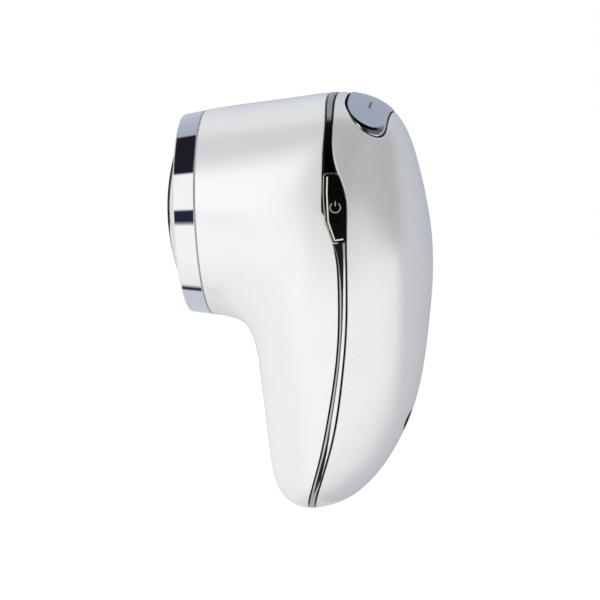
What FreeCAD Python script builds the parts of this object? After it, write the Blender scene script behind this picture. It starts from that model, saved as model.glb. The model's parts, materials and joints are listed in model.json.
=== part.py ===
import FreeCAD, Part
import Sketcher
import math
import os

# Hand-held skincare device: a moulded two-part body whose round head faces -X and whose grip hangs below it.
# Millimetres. Origin at the centre of the grip, +Z up, power button on the -Y side.

Vector = FreeCAD.Vector
AXIS_X = Vector(1, 0, 0)
AXIS_Y = Vector(0, 1, 0)
AXIS_Z = Vector(0, 0, 1)
QUARTER_TURN = 90
FULL_TURN = 360

SIZES = [
    # moulded body
    ("back_reach", 27.5, "grip centre to the back of the body"),
    ("tip_drop", 37.95, "grip centre to the tip of the grip"),
    ("body_width", 66, "widest part of the body, side to side"),
    ("wall", 2.2, "thickness of the moulded shells"),
    ("seam_gap", 0.2, "shell edge to the edge of the trim band"),
    ("overrun", 2, "how far a cutting shape reaches past what it cuts"),
    ("fit", 0.25, "clearance between pieces that slide together"),
    # round head
    ("head_reach", 38.8, "grip centre to the head seam, forwards"),
    ("head_lift", 50.4, "grip centre to the head axis, upwards"),
    ("head_radius", 30.6, "shell radius at the head seam"),
    ("head_tilt", 2.1, "head axis below the horizontal, degrees"),
    ("seal_thickness", 0.4, "grey seal between shell and ring"),
    ("seal_recess", 0.4, "seal edge below the shell"),
    ("ring_length", 6.5, "visible width of the bright ring"),
    ("ring_step", 0.1, "ring edge below the shell edge"),
    ("ring_taper", 0.9, "how much smaller the ring is at its front"),
    ("ring_round", 2, "rounded front corner of the ring"),
    ("ring_lip", 1.8, "lip of the ring that holds the lens"),
    ("skirt_length", 6, "ring skirt inside the shell"),
    ("skirt_wall", 1, "thickness of the ring skirt"),
    ("ring_face", 4.5, "edge of the dome inside the head radius"),
    ("lens_rise", 6, "height of the dome"),
    ("lens_thickness", 2, "thickness of the lens"),
    ("lens_flange", 0.75, "lens flange behind the lip, radially"),
    ("flange_thickness", 1.9, "thickness of the lens flange"),
    ("lens_set", 0.4, "dome edge below the ring front"),
    ("gasket_thickness", 0.3, "gasket between lens and lip"),
    # light engine
    ("carrier_wall", 1.2, "wall of the head carrier cup"),
    ("carrier_ledge", 1.5, "thickness of the ledge under the heat sink"),
    ("ledge_width", 5.65, "ledge of the carrier, from its wall inwards"),
    ("reflector_height", 2.5, "thickness of the reflector plate"),
    ("led_size", 3, "side of one light-emitting chip"),
    ("led_height", 1.2, "height of one light-emitting chip"),
    ("led_margin", 7.4, "outer ring of chips to the edge of their board"),
    ("reflector_bore", 4.6, "reflector hole at the chip, across"),
    ("reflector_mouth", 6.4, "reflector hole at the lens side, across"),
    ("led_board_thickness", 1.6, "board that carries the chips"),
    ("pad_thickness", 0.5, "thermal pad behind the board"),
    ("pad_margin", 3.4, "edge of the thermal pad inside the board"),
    ("sink_base", 2, "base plate of the heat sink"),
    ("fin_height", 6, "height of the cooling fins"),
    ("fin_thickness", 1.2, "thickness of one fin"),
    ("fin_pitch", 3.4, "spacing of the fins"),
    ("fin_margin", 8, "ends of the fins inside the opening of the ledge"),
    ("carrier_depth", 12, "seam to the back rim of the carrier"),
    ("boss_radius", 2.8, "radius of the screw bosses and posts"),
    ("boss_inset", 2.65, "carrier bosses inside the wall of the cup"),
    ("shell_flange", 2, "thickness of the flange inside the front shell"),
    # screws
    ("screw_radius", 0.9, "shank radius of the screws"),
    ("screw_play", 0.05, "shank to pilot hole"),
    ("screw_pass", 0.35, "shank to clearance hole"),
    ("screw_head_radius", 1.9, "head radius of the screws"),
    ("screw_head_height", 1.2, "head height of the screws"),
    ("screw_length", 6.5, "shank length of the screws"),
    # inner frame
    ("chassis_place", 2, "grip centre to the front of the chassis plate"),
    ("chassis_thickness", 2, "thickness of the chassis plate"),
    ("chassis_gap", 0.3, "chassis edge to the trim band"),
    ("chassis_lift", 17.95, "tip of the grip to the lower end of the chassis"),
    ("post_inset", 5.5, "shell posts inside the head radius"),
    ("peg_radius", 1.4, "locating pegs of the rear shell"),
    ("peg_post_radius", 2.4, "posts that carry the pegs"),
    ("upper_peg_spread", 16, "upper pegs from the middle, sideways"),
    ("upper_peg_rise", 6.6, "upper pegs above the head axis"),
    ("lower_peg_spread", 10, "lower pegs from the middle, sideways"),
    ("lower_peg_drop", 4, "lower pegs below the grip centre"),
    # battery and main board
    ("battery_radius", 7, "radius of the battery cell"),
    ("battery_length", 50, "length of the battery cell"),
    ("battery_lift", 13.95, "tip of the grip to the lower end of the battery"),
    ("battery_gap", 1.5, "battery to the chassis plate"),
    ("terminal_radius", 2.6, "battery terminal"),
    ("terminal_height", 1, "height of the battery terminal"),
    ("saddle_width", 5, "width of a battery saddle along the grip"),
    ("saddle_wall", 2, "saddle beside the battery"),
    ("saddle_spread", 15, "battery saddles above and below their middle"),
    ("board_thickness", 1.6, "main board"),
    ("board_width", 24, "main board, side to side"),
    ("board_length", 48, "main board, along the grip"),
    ("board_foot", 8, "grip centre to the lower end of the board"),
    ("standoff_height", 3, "chassis to main board"),
    ("standoff_radius", 2.2, "standoffs under the main board"),
    ("board_margin", 3, "board screws from the board edge"),
    ("chip_size", 7, "side of a controller chip"),
    ("chip_height", 1.4, "height of a controller chip"),
    ("connector_width", 8, "battery connector, side to side"),
    ("connector_depth", 4, "battery connector, along the board"),
    ("connector_height", 4.5, "battery connector above the board"),
    # trim band
    ("tongue_reach", 1.6, "tongue of the band under each shell edge"),
    ("tongue_thickness", 1.2, "thickness of the tongue"),
    ("tongue_gap", 0.1, "tongue to the inside of the shells"),
    # power button and indicator window
    ("button_place", 3.15, "grip centre to the button centre, backwards"),
    ("button_rise", 1.5, "head axis to the button centre, upwards"),
    ("button_width", 5.5, "power button, front to back"),
    ("button_length", 19.8, "power button, up and down"),
    ("button_proud", 0.5, "button face above the band"),
    ("button_travel", 0.6, "how far the power button goes in"),
    ("button_flange", 0.9, "flange that keeps the button in"),
    ("flange_depth", 1, "thickness of that flange"),
    ("stem_radius", 1.6, "stem behind a button"),
    ("stem_length", 1.5, "length of the stem behind the power button"),
    ("plunger_radius", 1.2, "plunger of a switch"),
    ("plunger_length", 2, "plunger of the power switch"),
    ("switch_size", 6, "side of a tact switch"),
    ("switch_height", 3.5, "height of the power switch"),
    ("switch_bore", 2.4, "depth of the hole for the plunger"),
    ("switch_stop", 0.2, "room left when the button is in"),
    ("small_board", 1.2, "thickness of the switch boards"),
    ("small_board_width", 11, "switch boards, front to back"),
    ("small_board_length", 16, "switch boards, up and down"),
    ("bracket_thickness", 1.5, "chassis bracket behind a switch board"),
    ("notch_room", 1, "chassis notch beyond a switch board"),
    ("window_set", 0.1, "indicator window below the band"),
    ("signal_size", 2, "side of an indicator light"),
    ("signal_pitch", 5, "spacing of the indicator lights"),
    # level rocker on the top of the body
    ("rocker_place", 9.55, "grip centre to the rocker centre, backwards"),
    ("rocker_length", 13.1, "rocker, front to back"),
    ("rocker_width", 43.6, "rocker, side to side"),
    ("rocker_rise", 0.6, "rocker above the shell at its middle"),
    ("rocker_spread", 4, "how much flatter the rocker is than the shell"),
    ("rocker_round", 1.2, "rounded upper edge of the rocker"),
    ("rocker_gap", 0.45, "rocker to the edge of its opening"),
    ("rocker_depth", 1, "rocker skirt below the inside of the shell"),
    ("rocker_slope", 21, "slope of the top under the rocker, degrees"),
    ("pivot_depth", 6.5, "rocker surface to the pivot pin"),
    ("pin_radius", 1.1, "pivot pin"),
    ("pin_play", 0.08, "pivot pin to the bore of the rocker"),
    ("lug_thickness", 1.6, "rocker lugs on the pin"),
    ("lug_width", 6, "rocker lugs and tower, side to side"),
    ("lug_rim", 1.1, "material below the pin in a lug"),
    ("tower_width", 3.4, "chassis tower between the lugs"),
    ("tower_rim", 1.1, "material above the pin in the tower"),
    ("rocker_switch_spread", 14, "rocker switches from the middle"),
    ("rocker_switch_height", 2.5, "height of a rocker switch"),
    ("rocker_plunger", 1, "plunger height of a rocker switch"),
    ("rocker_free_travel", 0.6, "rocker stem to the plunger"),
    ("rocker_board_depth", 13.4, "rocker surface to the rocker board"),
    ("rocker_board_width", 9, "rocker board, front to back"),
    ("rocker_board_length", 36, "rocker board, side to side"),
    ("tower_room", 0.4, "rocker board to the tower"),
    ("shelf_thickness", 2, "chassis shelf under the rocker board"),
    ("shelf_front", 2.6, "shelf ahead of the rocker centre"),
    ("shelf_back", 5.5, "shelf behind the rocker centre"),
    # charging socket
    ("socket_drop", 11.4, "grip centre to the socket, downwards"),
    ("socket_slope", 22, "socket axis below the horizontal, degrees"),
    ("socket_mouth", 3.25, "radius of the socket at its mouth"),
    ("socket_bore", 2.3, "radius of the plug hole"),
    ("socket_neck", 3, "length of the neck at the mouth"),
    ("socket_radius", 4.2, "radius of the socket body"),
    ("socket_length", 12.5, "length of the whole socket"),
    ("socket_floor", 2, "floor of the plug hole"),
    ("socket_set", 0.3, "mouth below the shell"),
    ("socket_pin", 0.85, "radius of the centre pin"),
    ("socket_pin_root", 1.3, "radius of the pin where the floor holds it"),
    ("socket_pin_set", 1.5, "end of the centre pin below the mouth"),
    ("collar_wall", 1.4, "collar of the rear shell round the socket"),
    ("collar_length", 9, "collar from the mouth inwards"),
    ("tab_width", 1.6, "solder tabs of the socket"),
    ("tab_thickness", 0.5, "thickness of the solder tabs"),
    ("tab_length", 3, "length of the solder tabs"),
]

# Lengthwise sections of the body, from just behind the head seam to the last one above the tip.
# Each row: inner edge x and z, outer edge x and z, half width, fullness.
# An x share follows head_reach ahead of the grip centre and back_reach behind it. A z share is measured from
# the underside of the head: above it follows the head's width, below it the drop to the tip.
# The half widths follow body_width.
SECTION_SHARES = [
    (-0.842, -0.0122, -0.842, 1.0198, 0.474, 0.000),
    (-0.7416, -0.039, -0.603, 1.0401, 0.485, 0.004),
    (-0.677, -0.0884, -0.2705, 1.0684, 0.495, 0.008),
    (-0.6455, -0.141, 0.1092, 1.0846, 0.500, 0.014),
    (-0.6302, -0.1818, 0.5448, 1.0117, 0.500, 0.020),
    (-0.6183, -0.2237, 0.8508, 0.7301, 0.485, 0.024),
    (-0.6073, -0.286, 0.9984, 0.3633, 0.447, 0.026),
    (-0.5877, -0.4051, 0.9708, -0.0208, 0.386, 0.026),
    (-0.5647, -0.5404, 0.8352, -0.4212, 0.326, 0.022),
    (-0.5409, -0.6907, 0.6168, -0.6703, 0.265, 0.016),
    (-0.5027, -0.8367, 0.3648, -0.841, 0.200, 0.010),
    (-0.4253, -0.9376, 0.0864, -0.9484, 0.126, 0.000),
    (-0.3326, -0.9827, -0.0774, -0.9838, 0.065, 0.000),
    (-0.2356, -0.9988, -0.1973, -0.9988, 0.010, 0.000),
]
TIP_SHARES = (-0.216, -1)
GRIP_SECTION = 9
LEAST_SECTION_SHARE = 0.015
POINTS_ROUND = 20

# Edges of the trim band seen from the side, top to tip: x and z shares as above.
FRONT_EDGE_SHARES = [
    (-0.0851, 1.1961), (-0.0697, 1.0786), (-0.0357, 0.961), (-0.0272, 0.803), (-0.0221, 0.6085),
    (-0.0187, 0.4991), (0.0168, 0.412), (0.0636, 0.3532), (0.108, 0.2944), (0.1284, 0.2256),
    (0.1344, 0.1182), (0.0984, -0.1872), (-0.0102, -0.4985), (-0.1344, -0.8109), (-0.2271, -0.9763),
    (-0.2943, -1.0965),
]
REAR_EDGE_SHARES = [
    (-0.0119, 1.1961), (0.0024, 1.0786), (0.036, 0.9712), (0.054, 0.8435), (0.12, 0.7058),
    (0.1884, 0.6328), (0.234, 0.5396), (0.2376, 0.4505), (0.2352, 0.2641), (0.2196, -0.0315),
    (0.1464, -0.3429), (0.0444, -0.6027), (-0.0672, -0.8109), (-0.1659, -0.9763), (-0.2398, -1.0965),
]

# Corners of the power button: x shares of button_width and z shares of button_length from its centre.
BUTTON_SHARES = [
    (-0.545, 0.485), (0.036, 0.490), (0.455, 0.083), (0.455, -0.485),
    (-0.090, -0.510), (-0.455, -0.207), (-0.545, 0.227),
]
# Outline of the rocker: shares of its length and of its half width.
ROCKER_WIDEST_SHARE = 0.55
FRONT_SHOULDER_SHARE = 0.61
BACK_SHOULDER_SHARE = 0.70
CORNER_STEPS = 5
# Lower edges of the controller chips from the middle of the board: shares of chip_size.
CHIP_SHARES = (-1.5, 0.5)
LED_RINGS = [1, 6, 12]
# Sideways and upward shares of the circle that the shell posts stand on.
POST_SHARES = (0.8166, 0.5777)
FIN_COUNT = 7
SIGNAL_COUNT = 3


class Length:
    """A number that remembers the formula of sheet cells it came from."""

    def __init__(self, formula, number):
        self.formula = formula
        self.number = number

    def joined(self, sign, other, number, swapped=False):
        pair = [self.formula, formula_of(other)]
        if swapped:
            pair.reverse()
        return Length(f"({pair[0]} {sign} {pair[1]})", number)

    def __float__(self):
        return self.number

    def __neg__(self):
        return Length(f"(-1 * {self.formula})", -self.number)

    def __add__(self, other):
        return self.joined("+", other, self.number + float(other))

    def __radd__(self, other):
        return self.joined("+", other, float(other) + self.number, swapped=True)

    def __sub__(self, other):
        return self.joined("-", other, self.number - float(other))

    def __rsub__(self, other):
        return self.joined("-", other, float(other) - self.number, swapped=True)

    def __mul__(self, other):
        return self.joined("*", other, self.number * float(other))

    def __rmul__(self, other):
        return self.joined("*", other, float(other) * self.number, swapped=True)

    def __truediv__(self, other):
        return self.joined("/", other, self.number / float(other))


def formula_of(value):
    """Text of a formula or of a plain number."""
    if isinstance(value, Length):
        return value.formula
    return repr(float(value))


# The document and its sheet of sizes
doc = FreeCAD.newDocument("SkincareDevice")
sheet = doc.addObject("Spreadsheet::Sheet", "Sizes")
for row, (alias, number, meaning) in enumerate(SIZES, start=1):
    sheet.set(f"A{row}", alias)
    sheet.set(f"B{row}", str(number))
    sheet.set(f"C{row}", meaning)
    sheet.setAlias(f"B{row}", alias)
doc.recompute()


class SizeBook:
    """Every size of the sheet as an attribute."""

    def __init__(self):
        for alias, _, _ in SIZES:
            setattr(self, alias, Length(f"Sizes.{alias}", float(sheet.get(alias))))


S = SizeBook()
node_objects = []
body_depth = S.head_reach + S.back_reach
body_height = S.head_lift + S.head_radius + S.tip_drop
head_underside = S.head_lift - S.head_radius


def bind(feature, sizes):
    """Tie properties of a feature to the sheet."""
    for name, value in sizes.items():
        if isinstance(value, Length):
            feature.setExpression(name, value.formula)
        else:
            setattr(feature, name, value)


def node(feature, label):
    """Make a feature one of the finished sub-parts."""
    feature.Label = label
    node_objects.append(feature)
    return feature


def shift(x=0, y=0, z=0):
    """Placement that only moves."""
    return FreeCAD.Placement(Vector(float(x), float(y), float(z)), FreeCAD.Rotation())


def place_in(frame, x=0, y=0, z=0, rotation=None):
    """Placement inside another frame."""
    local = FreeCAD.Placement(Vector(float(x), float(y), float(z)), rotation or FreeCAD.Rotation())
    return frame.multiply(local)


# Turns that lay a cylinder along X or along -Y and +Y
ALONG_X = FreeCAD.Rotation(AXIS_Y, QUARTER_TURN)
ALONG_Y = FreeCAD.Rotation(AXIS_X, -QUARTER_TURN)


def box(name, size_x, size_y, size_z, placement):
    """Block bound to the sheet."""
    feature = doc.addObject("Part::Box", name)
    bind(feature, {"Length": size_x, "Width": size_y, "Height": size_z})
    feature.Placement = placement
    return feature


def cylinder(name, radius, height, placement):
    """Cylinder bound to the sheet, standing on its placement."""
    feature = doc.addObject("Part::Cylinder", name)
    bind(feature, {"Radius": radius, "Height": height})
    feature.Placement = placement
    return feature


def cone(name, radius_low, radius_high, height, placement):
    """Cone bound to the sheet, standing on its placement."""
    feature = doc.addObject("Part::Cone", name)
    bind(feature, {"Radius1": radius_low, "Radius2": radius_high, "Height": height})
    feature.Placement = placement
    return feature


def joined(name, pieces):
    """One solid from several."""
    feature = doc.addObject("Part::MultiFuse", name)
    feature.Shapes = pieces
    return feature


def shared(name, pieces):
    """What several solids have in common."""
    feature = doc.addObject("Part::MultiCommon", name)
    feature.Shapes = pieces
    return feature


def cut(name, base, tool):
    """A solid less another."""
    feature = doc.addObject("Part::Cut", name)
    feature.Base = base
    feature.Tool = tool
    return feature


def cut_all(name, base, tools):
    """A solid less several others."""
    return cut(name, base, tools[0] if len(tools) == 1 else joined(f"{name}_cuts", tools))


def group(name, pieces):
    """Separate solids kept together as one sub-part."""
    feature = doc.addObject("Part::Compound", name)
    feature.Links = pieces
    return feature


def form(name, shape):
    """A shape that only code can make, kept in the document."""
    feature = doc.addObject("Part::Feature", name)
    feature.Shape = shape
    return feature


def origin_part(body, role):
    """Plane or axis of a body's own origin."""
    return [part for part in body.Origin.OriginFeatures if part.Role == role][0]


def draw_outline(sketch, points):
    """Closed outline of lines and arcs with every corner tied to the sheet.

    A point is (x, y), or (x, y, centre_x, turn) where an arc arrives at it: turn is +1 against the clock.
    """
    corners = [(float(point[0]), float(point[1])) for point in points]
    starts = []
    for index, point in enumerate(points):
        x0, y0 = corners[index - 1]
        x1, y1 = corners[index]
        if len(point) == 2:
            piece = sketch.addGeometry(Part.LineSegment(Vector(x0, y0, 0), Vector(x1, y1, 0)), False)
            starts.append((piece, 1, 2))
            continue
        centre_x = float(point[2])
        lift = (x0 - centre_x) ** 2 - (x1 - centre_x) ** 2 + y0 ** 2 - y1 ** 2
        centre_y = lift / (2 * (y0 - y1))
        circle = Part.Circle(Vector(centre_x, centre_y, 0), AXIS_Z, math.hypot(x0 - centre_x, y0 - centre_y))
        angles = [math.atan2(y0 - centre_y, x0 - centre_x), math.atan2(y1 - centre_y, x1 - centre_x)]
        ends = (1, 2)
        if point[3] < 0:
            angles.reverse()
            ends = (2, 1)
        piece = sketch.addGeometry(Part.ArcOfCircle(circle, angles[0], angles[1]), False)
        starts.append((piece,) + ends)
        pin_point(sketch, piece, 3, point[2], None)
    for index, point in enumerate(points):
        piece, _, arrival = starts[index]
        following, departure, _ = starts[(index + 1) % len(points)]
        sketch.addConstraint(Sketcher.Constraint("Coincident", piece, arrival, following, departure))
        pin_point(sketch, piece, arrival, point[0], point[1])


def pin_point(sketch, piece, end, x, y):
    """Tie one point of a sketch to the sheet, or to an axis where its place is zero."""
    for direction, axis, value in (("DistanceX", -2, x), ("DistanceY", -1, y)):
        if value is None:
            continue
        if not isinstance(value, Length):
            sketch.addConstraint(Sketcher.Constraint("PointOnObject", piece, end, axis))
            continue
        number = sketch.addConstraint(Sketcher.Constraint(direction, -1, 1, piece, end, float(value)))
        sketch.setExpression(f"Constraints[{number}]", value.formula)


def new_sketch(body, name, role):
    """Sketch on one of the body's own planes."""
    sketch = body.newObject("Sketcher::SketchObject", name)
    sketch.AttachmentSupport = [(origin_part(body, role), "")]
    sketch.MapMode = "FlatFace"
    return sketch


def turned_body(label, points, placement):
    """Body turned about its own Z axis from an outline of (radius, height) points."""
    body = doc.addObject("PartDesign::Body", f"{label}_body")
    sketch = new_sketch(body, f"{label}_outline", "XZ_Plane")
    draw_outline(sketch, points)
    turned = body.newObject("PartDesign::Revolution", f"{label}_turned")
    turned.Profile = sketch
    turned.ReferenceAxis = (origin_part(body, "Z_Axis"), [""])
    turned.Angle = FULL_TURN
    body.Placement = placement
    return body


def screw(name, placement):
    """Screw whose head lies below its placement and whose shank rises from it."""
    head = cylinder(f"{name}_head", S.screw_head_radius, S.screw_head_height,
                    place_in(placement, z=-S.screw_head_height))
    shank = cylinder(f"{name}_shank", S.screw_radius, S.screw_length, placement)
    return joined(name, [head, shank])


# Frame of the head: Z forwards along its axis, X upwards, origin at the middle of the seam
head_frame = FreeCAD.Placement(
    Vector(-float(S.head_reach), 0, float(S.head_lift)),
    FreeCAD.Rotation(AXIS_Y, -(QUARTER_TURN + float(S.head_tilt))))
head_forward = head_frame.Rotation.multVec(AXIS_Z)
head_up = head_frame.Rotation.multVec(AXIS_X)


# Smooth body form
def body_point(x_share, z_share):
    """Point of the middle plane from shares of the body's sizes."""
    reach = S.head_reach if x_share < 0 else S.back_reach
    height = S.head_radius * 2 if z_share > 0 else head_underside + S.tip_drop
    return Vector(x_share * float(reach), 0, float(head_underside) + z_share * float(height))


def body_sections():
    """Sections of the outer form: inner edge, outer edge, half width, fullness."""
    radius = float(S.head_radius)
    sections = [(head_frame.Base - head_up * radius, head_frame.Base + head_up * radius, radius, 0.0)]
    for inner_x, inner_z, outer_x, outer_z, half_width, fullness in SECTION_SHARES:
        sections.append((body_point(inner_x, inner_z), body_point(outer_x, outer_z),
                         half_width * float(S.body_width), fullness))
    return sections


def section_points(section, inset, spread, grip_half):
    """Points round one section drawn in by the inset, or None where nothing is left of it."""
    inner, outer, half_width, fullness = section
    along = outer - inner
    half = along.Length / 2
    along = along / along.Length
    raise_up = AXIS_Z * (inset * max(0.0, 1 - half / grip_half))
    middle = (inner + outer) / 2 + raise_up
    half = half - inset
    wide = half_width + spread - inset
    if inset > 0 and min(half, wide) < LEAST_SECTION_SHARE * float(S.body_width):
        return None
    points = []
    for step in range(POINTS_ROUND):
        angle = math.pi + 2 * math.pi * step / POINTS_ROUND
        reach = half * ((1 + fullness) * math.cos(angle) - fullness * math.cos(3 * angle))
        side = wide * ((1 + fullness) * math.sin(angle) + fullness * math.sin(3 * angle))
        points.append(middle + along * reach + AXIS_Y * side)
    return points


def body_form(inset=0.0, spread=0.0):
    """Solid of the body drawn in by an inset, as one smooth surface skinned over the sections."""
    inset = float(inset)
    spread = float(spread)
    sections = body_sections()
    if inset > 0:
        ahead = head_forward * float(S.overrun)
        inner, outer, half_width, fullness = sections[0]
        sections.insert(0, (inner + ahead, outer + ahead, half_width, fullness))
    grip = body_sections()[GRIP_SECTION]
    grip_half = (grip[1] - grip[0]).Length / 2
    rows = [section_points(section, inset, spread, grip_half) for section in sections]
    rows = [row for row in rows if row]
    tip = body_point(*TIP_SHARES) + AXIS_Z * inset
    spacing = [0.0]
    for row, following in zip(rows, rows[1:] + [[tip] * POINTS_ROUND]):
        gaps = [row[step].distanceToPoint(following[step]) for step in range(POINTS_ROUND)]
        spacing.append(spacing[-1] + sum(gaps))
    lengthwise = [place / spacing[-1] for place in spacing]
    round_steps = [step / POINTS_ROUND for step in range(POINTS_ROUND + 1)]
    loops = []
    for row in rows:
        loop = Part.BSplineCurve()
        loop.interpolate(Points=row, PeriodicFlag=True, Parameters=round_steps)
        loops.append(loop)
    pole_rows = [loop.getPoles() for loop in loops]
    pole_rows.append([tip] * len(pole_rows[0]))
    lines = []
    for column in zip(*pole_rows):
        line = Part.BSplineCurve()
        line.interpolate(Points=list(column), Parameters=lengthwise)
        lines.append(line)
    surface = Part.BSplineSurface()
    surface.buildFromPolesMultsKnots(
        [line.getPoles() for line in lines], loops[0].getMultiplicities(), lines[0].getMultiplicities(),
        loops[0].getKnots(), lines[0].getKnots(), True, False, loops[0].Degree, lines[0].Degree)
    skin = surface.toShape()
    mouth = max((edge for edge in skin.Edges if edge.isClosed() and not edge.Degenerated), key=mouth_lift)
    shell = Part.Shell([skin, Part.Face(Part.Wire([mouth]))])
    shell.sewShape()
    return Part.Solid(shell)


def mouth_lift(edge):
    """How far forward the middle of an edge lies."""
    return edge.BoundBox.Center.dot(head_forward)


def edge_curve(shares, shift_x):
    """One edge of the trim band in the middle plane, moved sideways by a gap."""
    points = [body_point(*share) + AXIS_X * float(shift_x) for share in shares]
    curve = Part.BSplineCurve()
    curve.interpolate(points)
    return curve.toShape(), points[0], points[-1]


def side_prism(edges):
    """Solid across the whole width between two edges of the side view."""
    (first, first_top, first_tip), (second, second_top, second_tip) = edges
    outline = Part.Wire([first, Part.makeLine(first_tip, second_tip), second,
                         Part.makeLine(second_top, first_top)])
    return across_body(Part.Face(outline))


def across_body(face):
    """Solid of a face of the middle plane carried through the whole width."""
    width = float(S.body_width)
    face.translate(AXIS_Y * -width)
    return face.extrude(AXIS_Y * 2 * width)


def far_edge(top, tip, direction):
    """Straight boundary well outside the body."""
    away = AXIS_X * (direction * 2 * float(body_depth))
    return Part.makeLine(top + away, tip + away), top + away, tip + away


def front_region():
    """Everything ahead of the front edge of the band."""
    edge = edge_curve(FRONT_EDGE_SHARES, 0)
    return side_prism([far_edge(edge[1], edge[2], -1), edge])


def rear_region():
    """Everything behind the rear edge of the band."""
    edge = edge_curve(REAR_EDGE_SHARES, 0)
    return side_prism([edge, far_edge(edge[1], edge[2], 1)])


def band_region(margin):
    """Strip between the two edges, made wider by a margin on each side."""
    return side_prism([edge_curve(FRONT_EDGE_SHARES, -margin), edge_curve(REAR_EDGE_SHARES, margin)])


button_level = S.head_lift + S.button_rise


def button_outline(grow):
    """Face of the power button in the middle plane, grown by a margin."""
    corners = [Vector(float(S.button_place + S.button_width * x_share), 0,
                      float(button_level + S.button_length * z_share))
               for x_share, z_share in BUTTON_SHARES]
    outline = Part.makePolygon(corners + corners[:1])
    if float(grow) > 0:
        outline = outline.makeOffset2D(float(grow), join=2).Wires[0]
    return Part.Face(outline)


def side_block(face, side):
    """Solid of a face of the middle plane carried out to one side."""
    return face.extrude(AXIS_Y * (side * float(S.body_width)))


def corner_curve(middle, reach_x, reach_y):
    """Quarter of an ellipse from its side end to its lengthwise end."""
    points = []
    for step in range(CORNER_STEPS + 1):
        angle = math.pi / 2 * step / CORNER_STEPS
        points.append(middle + Vector(reach_x * math.cos(angle), reach_y * math.sin(angle), 0))
    curve = Part.BSplineCurve()
    curve.interpolate(Points=points, InitialTangent=AXIS_Y * reach_y, FinalTangent=AXIS_X * -reach_x)
    return curve.toShape()


def rocker_outline(grow):
    """Face of the rocker seen from above, grown by a margin: straight front and back, round shoulders."""
    half_width = float(S.rocker_width / 2)
    front = float(S.rocker_place - S.rocker_length / 2)
    back = float(S.rocker_place + S.rocker_length / 2)
    widest = front + ROCKER_WIDEST_SHARE * float(S.rocker_length)
    margin = float(grow)
    ends = {}
    edges = []
    for name, end, outward, shoulder_share in (("front", front, -1, FRONT_SHOULDER_SHARE),
                                               ("back", back, 1, BACK_SHOULDER_SHARE)):
        shoulder = shoulder_share * half_width
        reach_x = end - widest + outward * margin
        reach_y = half_width - shoulder + margin
        for side in (-1, 1):
            middle = Vector(widest, side * shoulder, 0)
            edges.append(corner_curve(middle, reach_x, side * reach_y))
            ends[name, side] = middle + AXIS_X * reach_x
        edges.append(Part.makeLine(ends[name, -1], ends[name, 1]))
    return Part.Face(Part.Wire(Part.__sortEdges__(edges)))


def upward_block(face):
    """Solid of a face of the ground plane carried upwards from the head axis."""
    face.translate(AXIS_Z * float(S.head_lift))
    return face.extrude(AXIS_Z * float(body_height))


def skin_point(start, direction):
    """Where a line from inside the body leaves the outer form."""
    reach = direction * float(body_height)
    inside = Part.makeLine(start, start + reach).common(outer_form.Shape)
    return max((vertex.Point for vertex in inside.Vertexes), key=direction.dot)


# Forms that several pieces share
tongue_outer = S.wall + S.tongue_gap
tongue_inner = tongue_outer + S.tongue_thickness
chassis_inset = tongue_inner + S.chassis_gap
outer_form = form("outer_form", body_form())
inner_form = form("inner_form", body_form(S.wall))
tongue_top_form = form("tongue_top_form", body_form(tongue_outer))
tongue_back_form = form("tongue_back_form", body_form(tongue_inner))
chassis_form = form("chassis_form", body_form(chassis_inset))
front_side = form("front_side", front_region())
rear_side = form("rear_side", rear_region())
rocker_well = form("rocker_well", upward_block(rocker_outline(S.rocker_gap)))

# Frames of the power button, the indicator, the rocker and the charging socket
button_middle = Vector(float(S.button_place), 0, float(button_level))
button_reach = AXIS_Z * float(S.button_length / 2 + S.button_flange)
button_ends = [button_middle - button_reach, button_middle + button_reach]
button_skin = skin_point(button_middle, -AXIS_Y)
button_half_width = -button_skin.y
button_end_drop = max(button_half_width + skin_point(end, -AXIS_Y).y for end in button_ends)
rocker_skin = skin_point(Vector(float(S.rocker_place), 0, float(S.head_lift)), AXIS_Z)
rocker_frame = FreeCAD.Placement(rocker_skin, FreeCAD.Rotation(AXIS_Y, float(S.rocker_slope)))
socket_skin = skin_point(Vector(0, 0, -float(S.socket_drop)), AXIS_X)
socket_frame = FreeCAD.Placement(socket_skin, FreeCAD.Rotation(AXIS_Y, QUARTER_TURN + float(S.socket_slope)))

# Levels of the head stack along the head axis, forwards from the seam
ring_front = S.seal_thickness + S.ring_length
lip_back = ring_front - S.ring_lip
flange_front = lip_back - S.gasket_thickness
flange_back = flange_front - S.flange_thickness
board_front = 0
board_back = -S.led_board_thickness
pad_back = board_back - S.pad_thickness
sink_back = pad_back - S.sink_base
ledge_back = sink_back - S.carrier_ledge
shell_flange_front = -S.carrier_depth
shell_flange_back = shell_flange_front - S.shell_flange

# Radii of the head stack
lens_radius = S.head_radius - S.ring_face
lip_radius = lens_radius + S.fit
flange_radius = lens_radius + S.lens_flange
ring_bore = flange_radius + S.fit
skirt_radius = ring_bore + S.skirt_wall
carrier_radius = ring_bore - S.fit
carrier_bore = carrier_radius - S.carrier_wall
stack_radius = carrier_bore - S.fit
ledge_radius = carrier_bore - S.ledge_width
boss_circle = carrier_bore - S.boss_inset
ring_back_radius = S.head_radius - S.ring_step
ring_front_radius = ring_back_radius - S.ring_taper


def head_ring():
    """Bright ring: tapered outside, rounded front corner, lip over the lens, skirt inside the shell."""
    return node(turned_body("head_ring", [
        (ring_back_radius, S.seal_thickness),
        (ring_front_radius, ring_front - S.ring_round),
        (ring_front_radius - S.ring_round, ring_front, ring_front_radius - S.ring_round, 1),
        (lip_radius, ring_front),
        (lip_radius, lip_back),
        (ring_bore, lip_back),
        (ring_bore, -S.skirt_length),
        (skirt_radius, -S.skirt_length),
        (skirt_radius, S.seal_thickness),
    ], head_frame), "head_ring")


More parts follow.
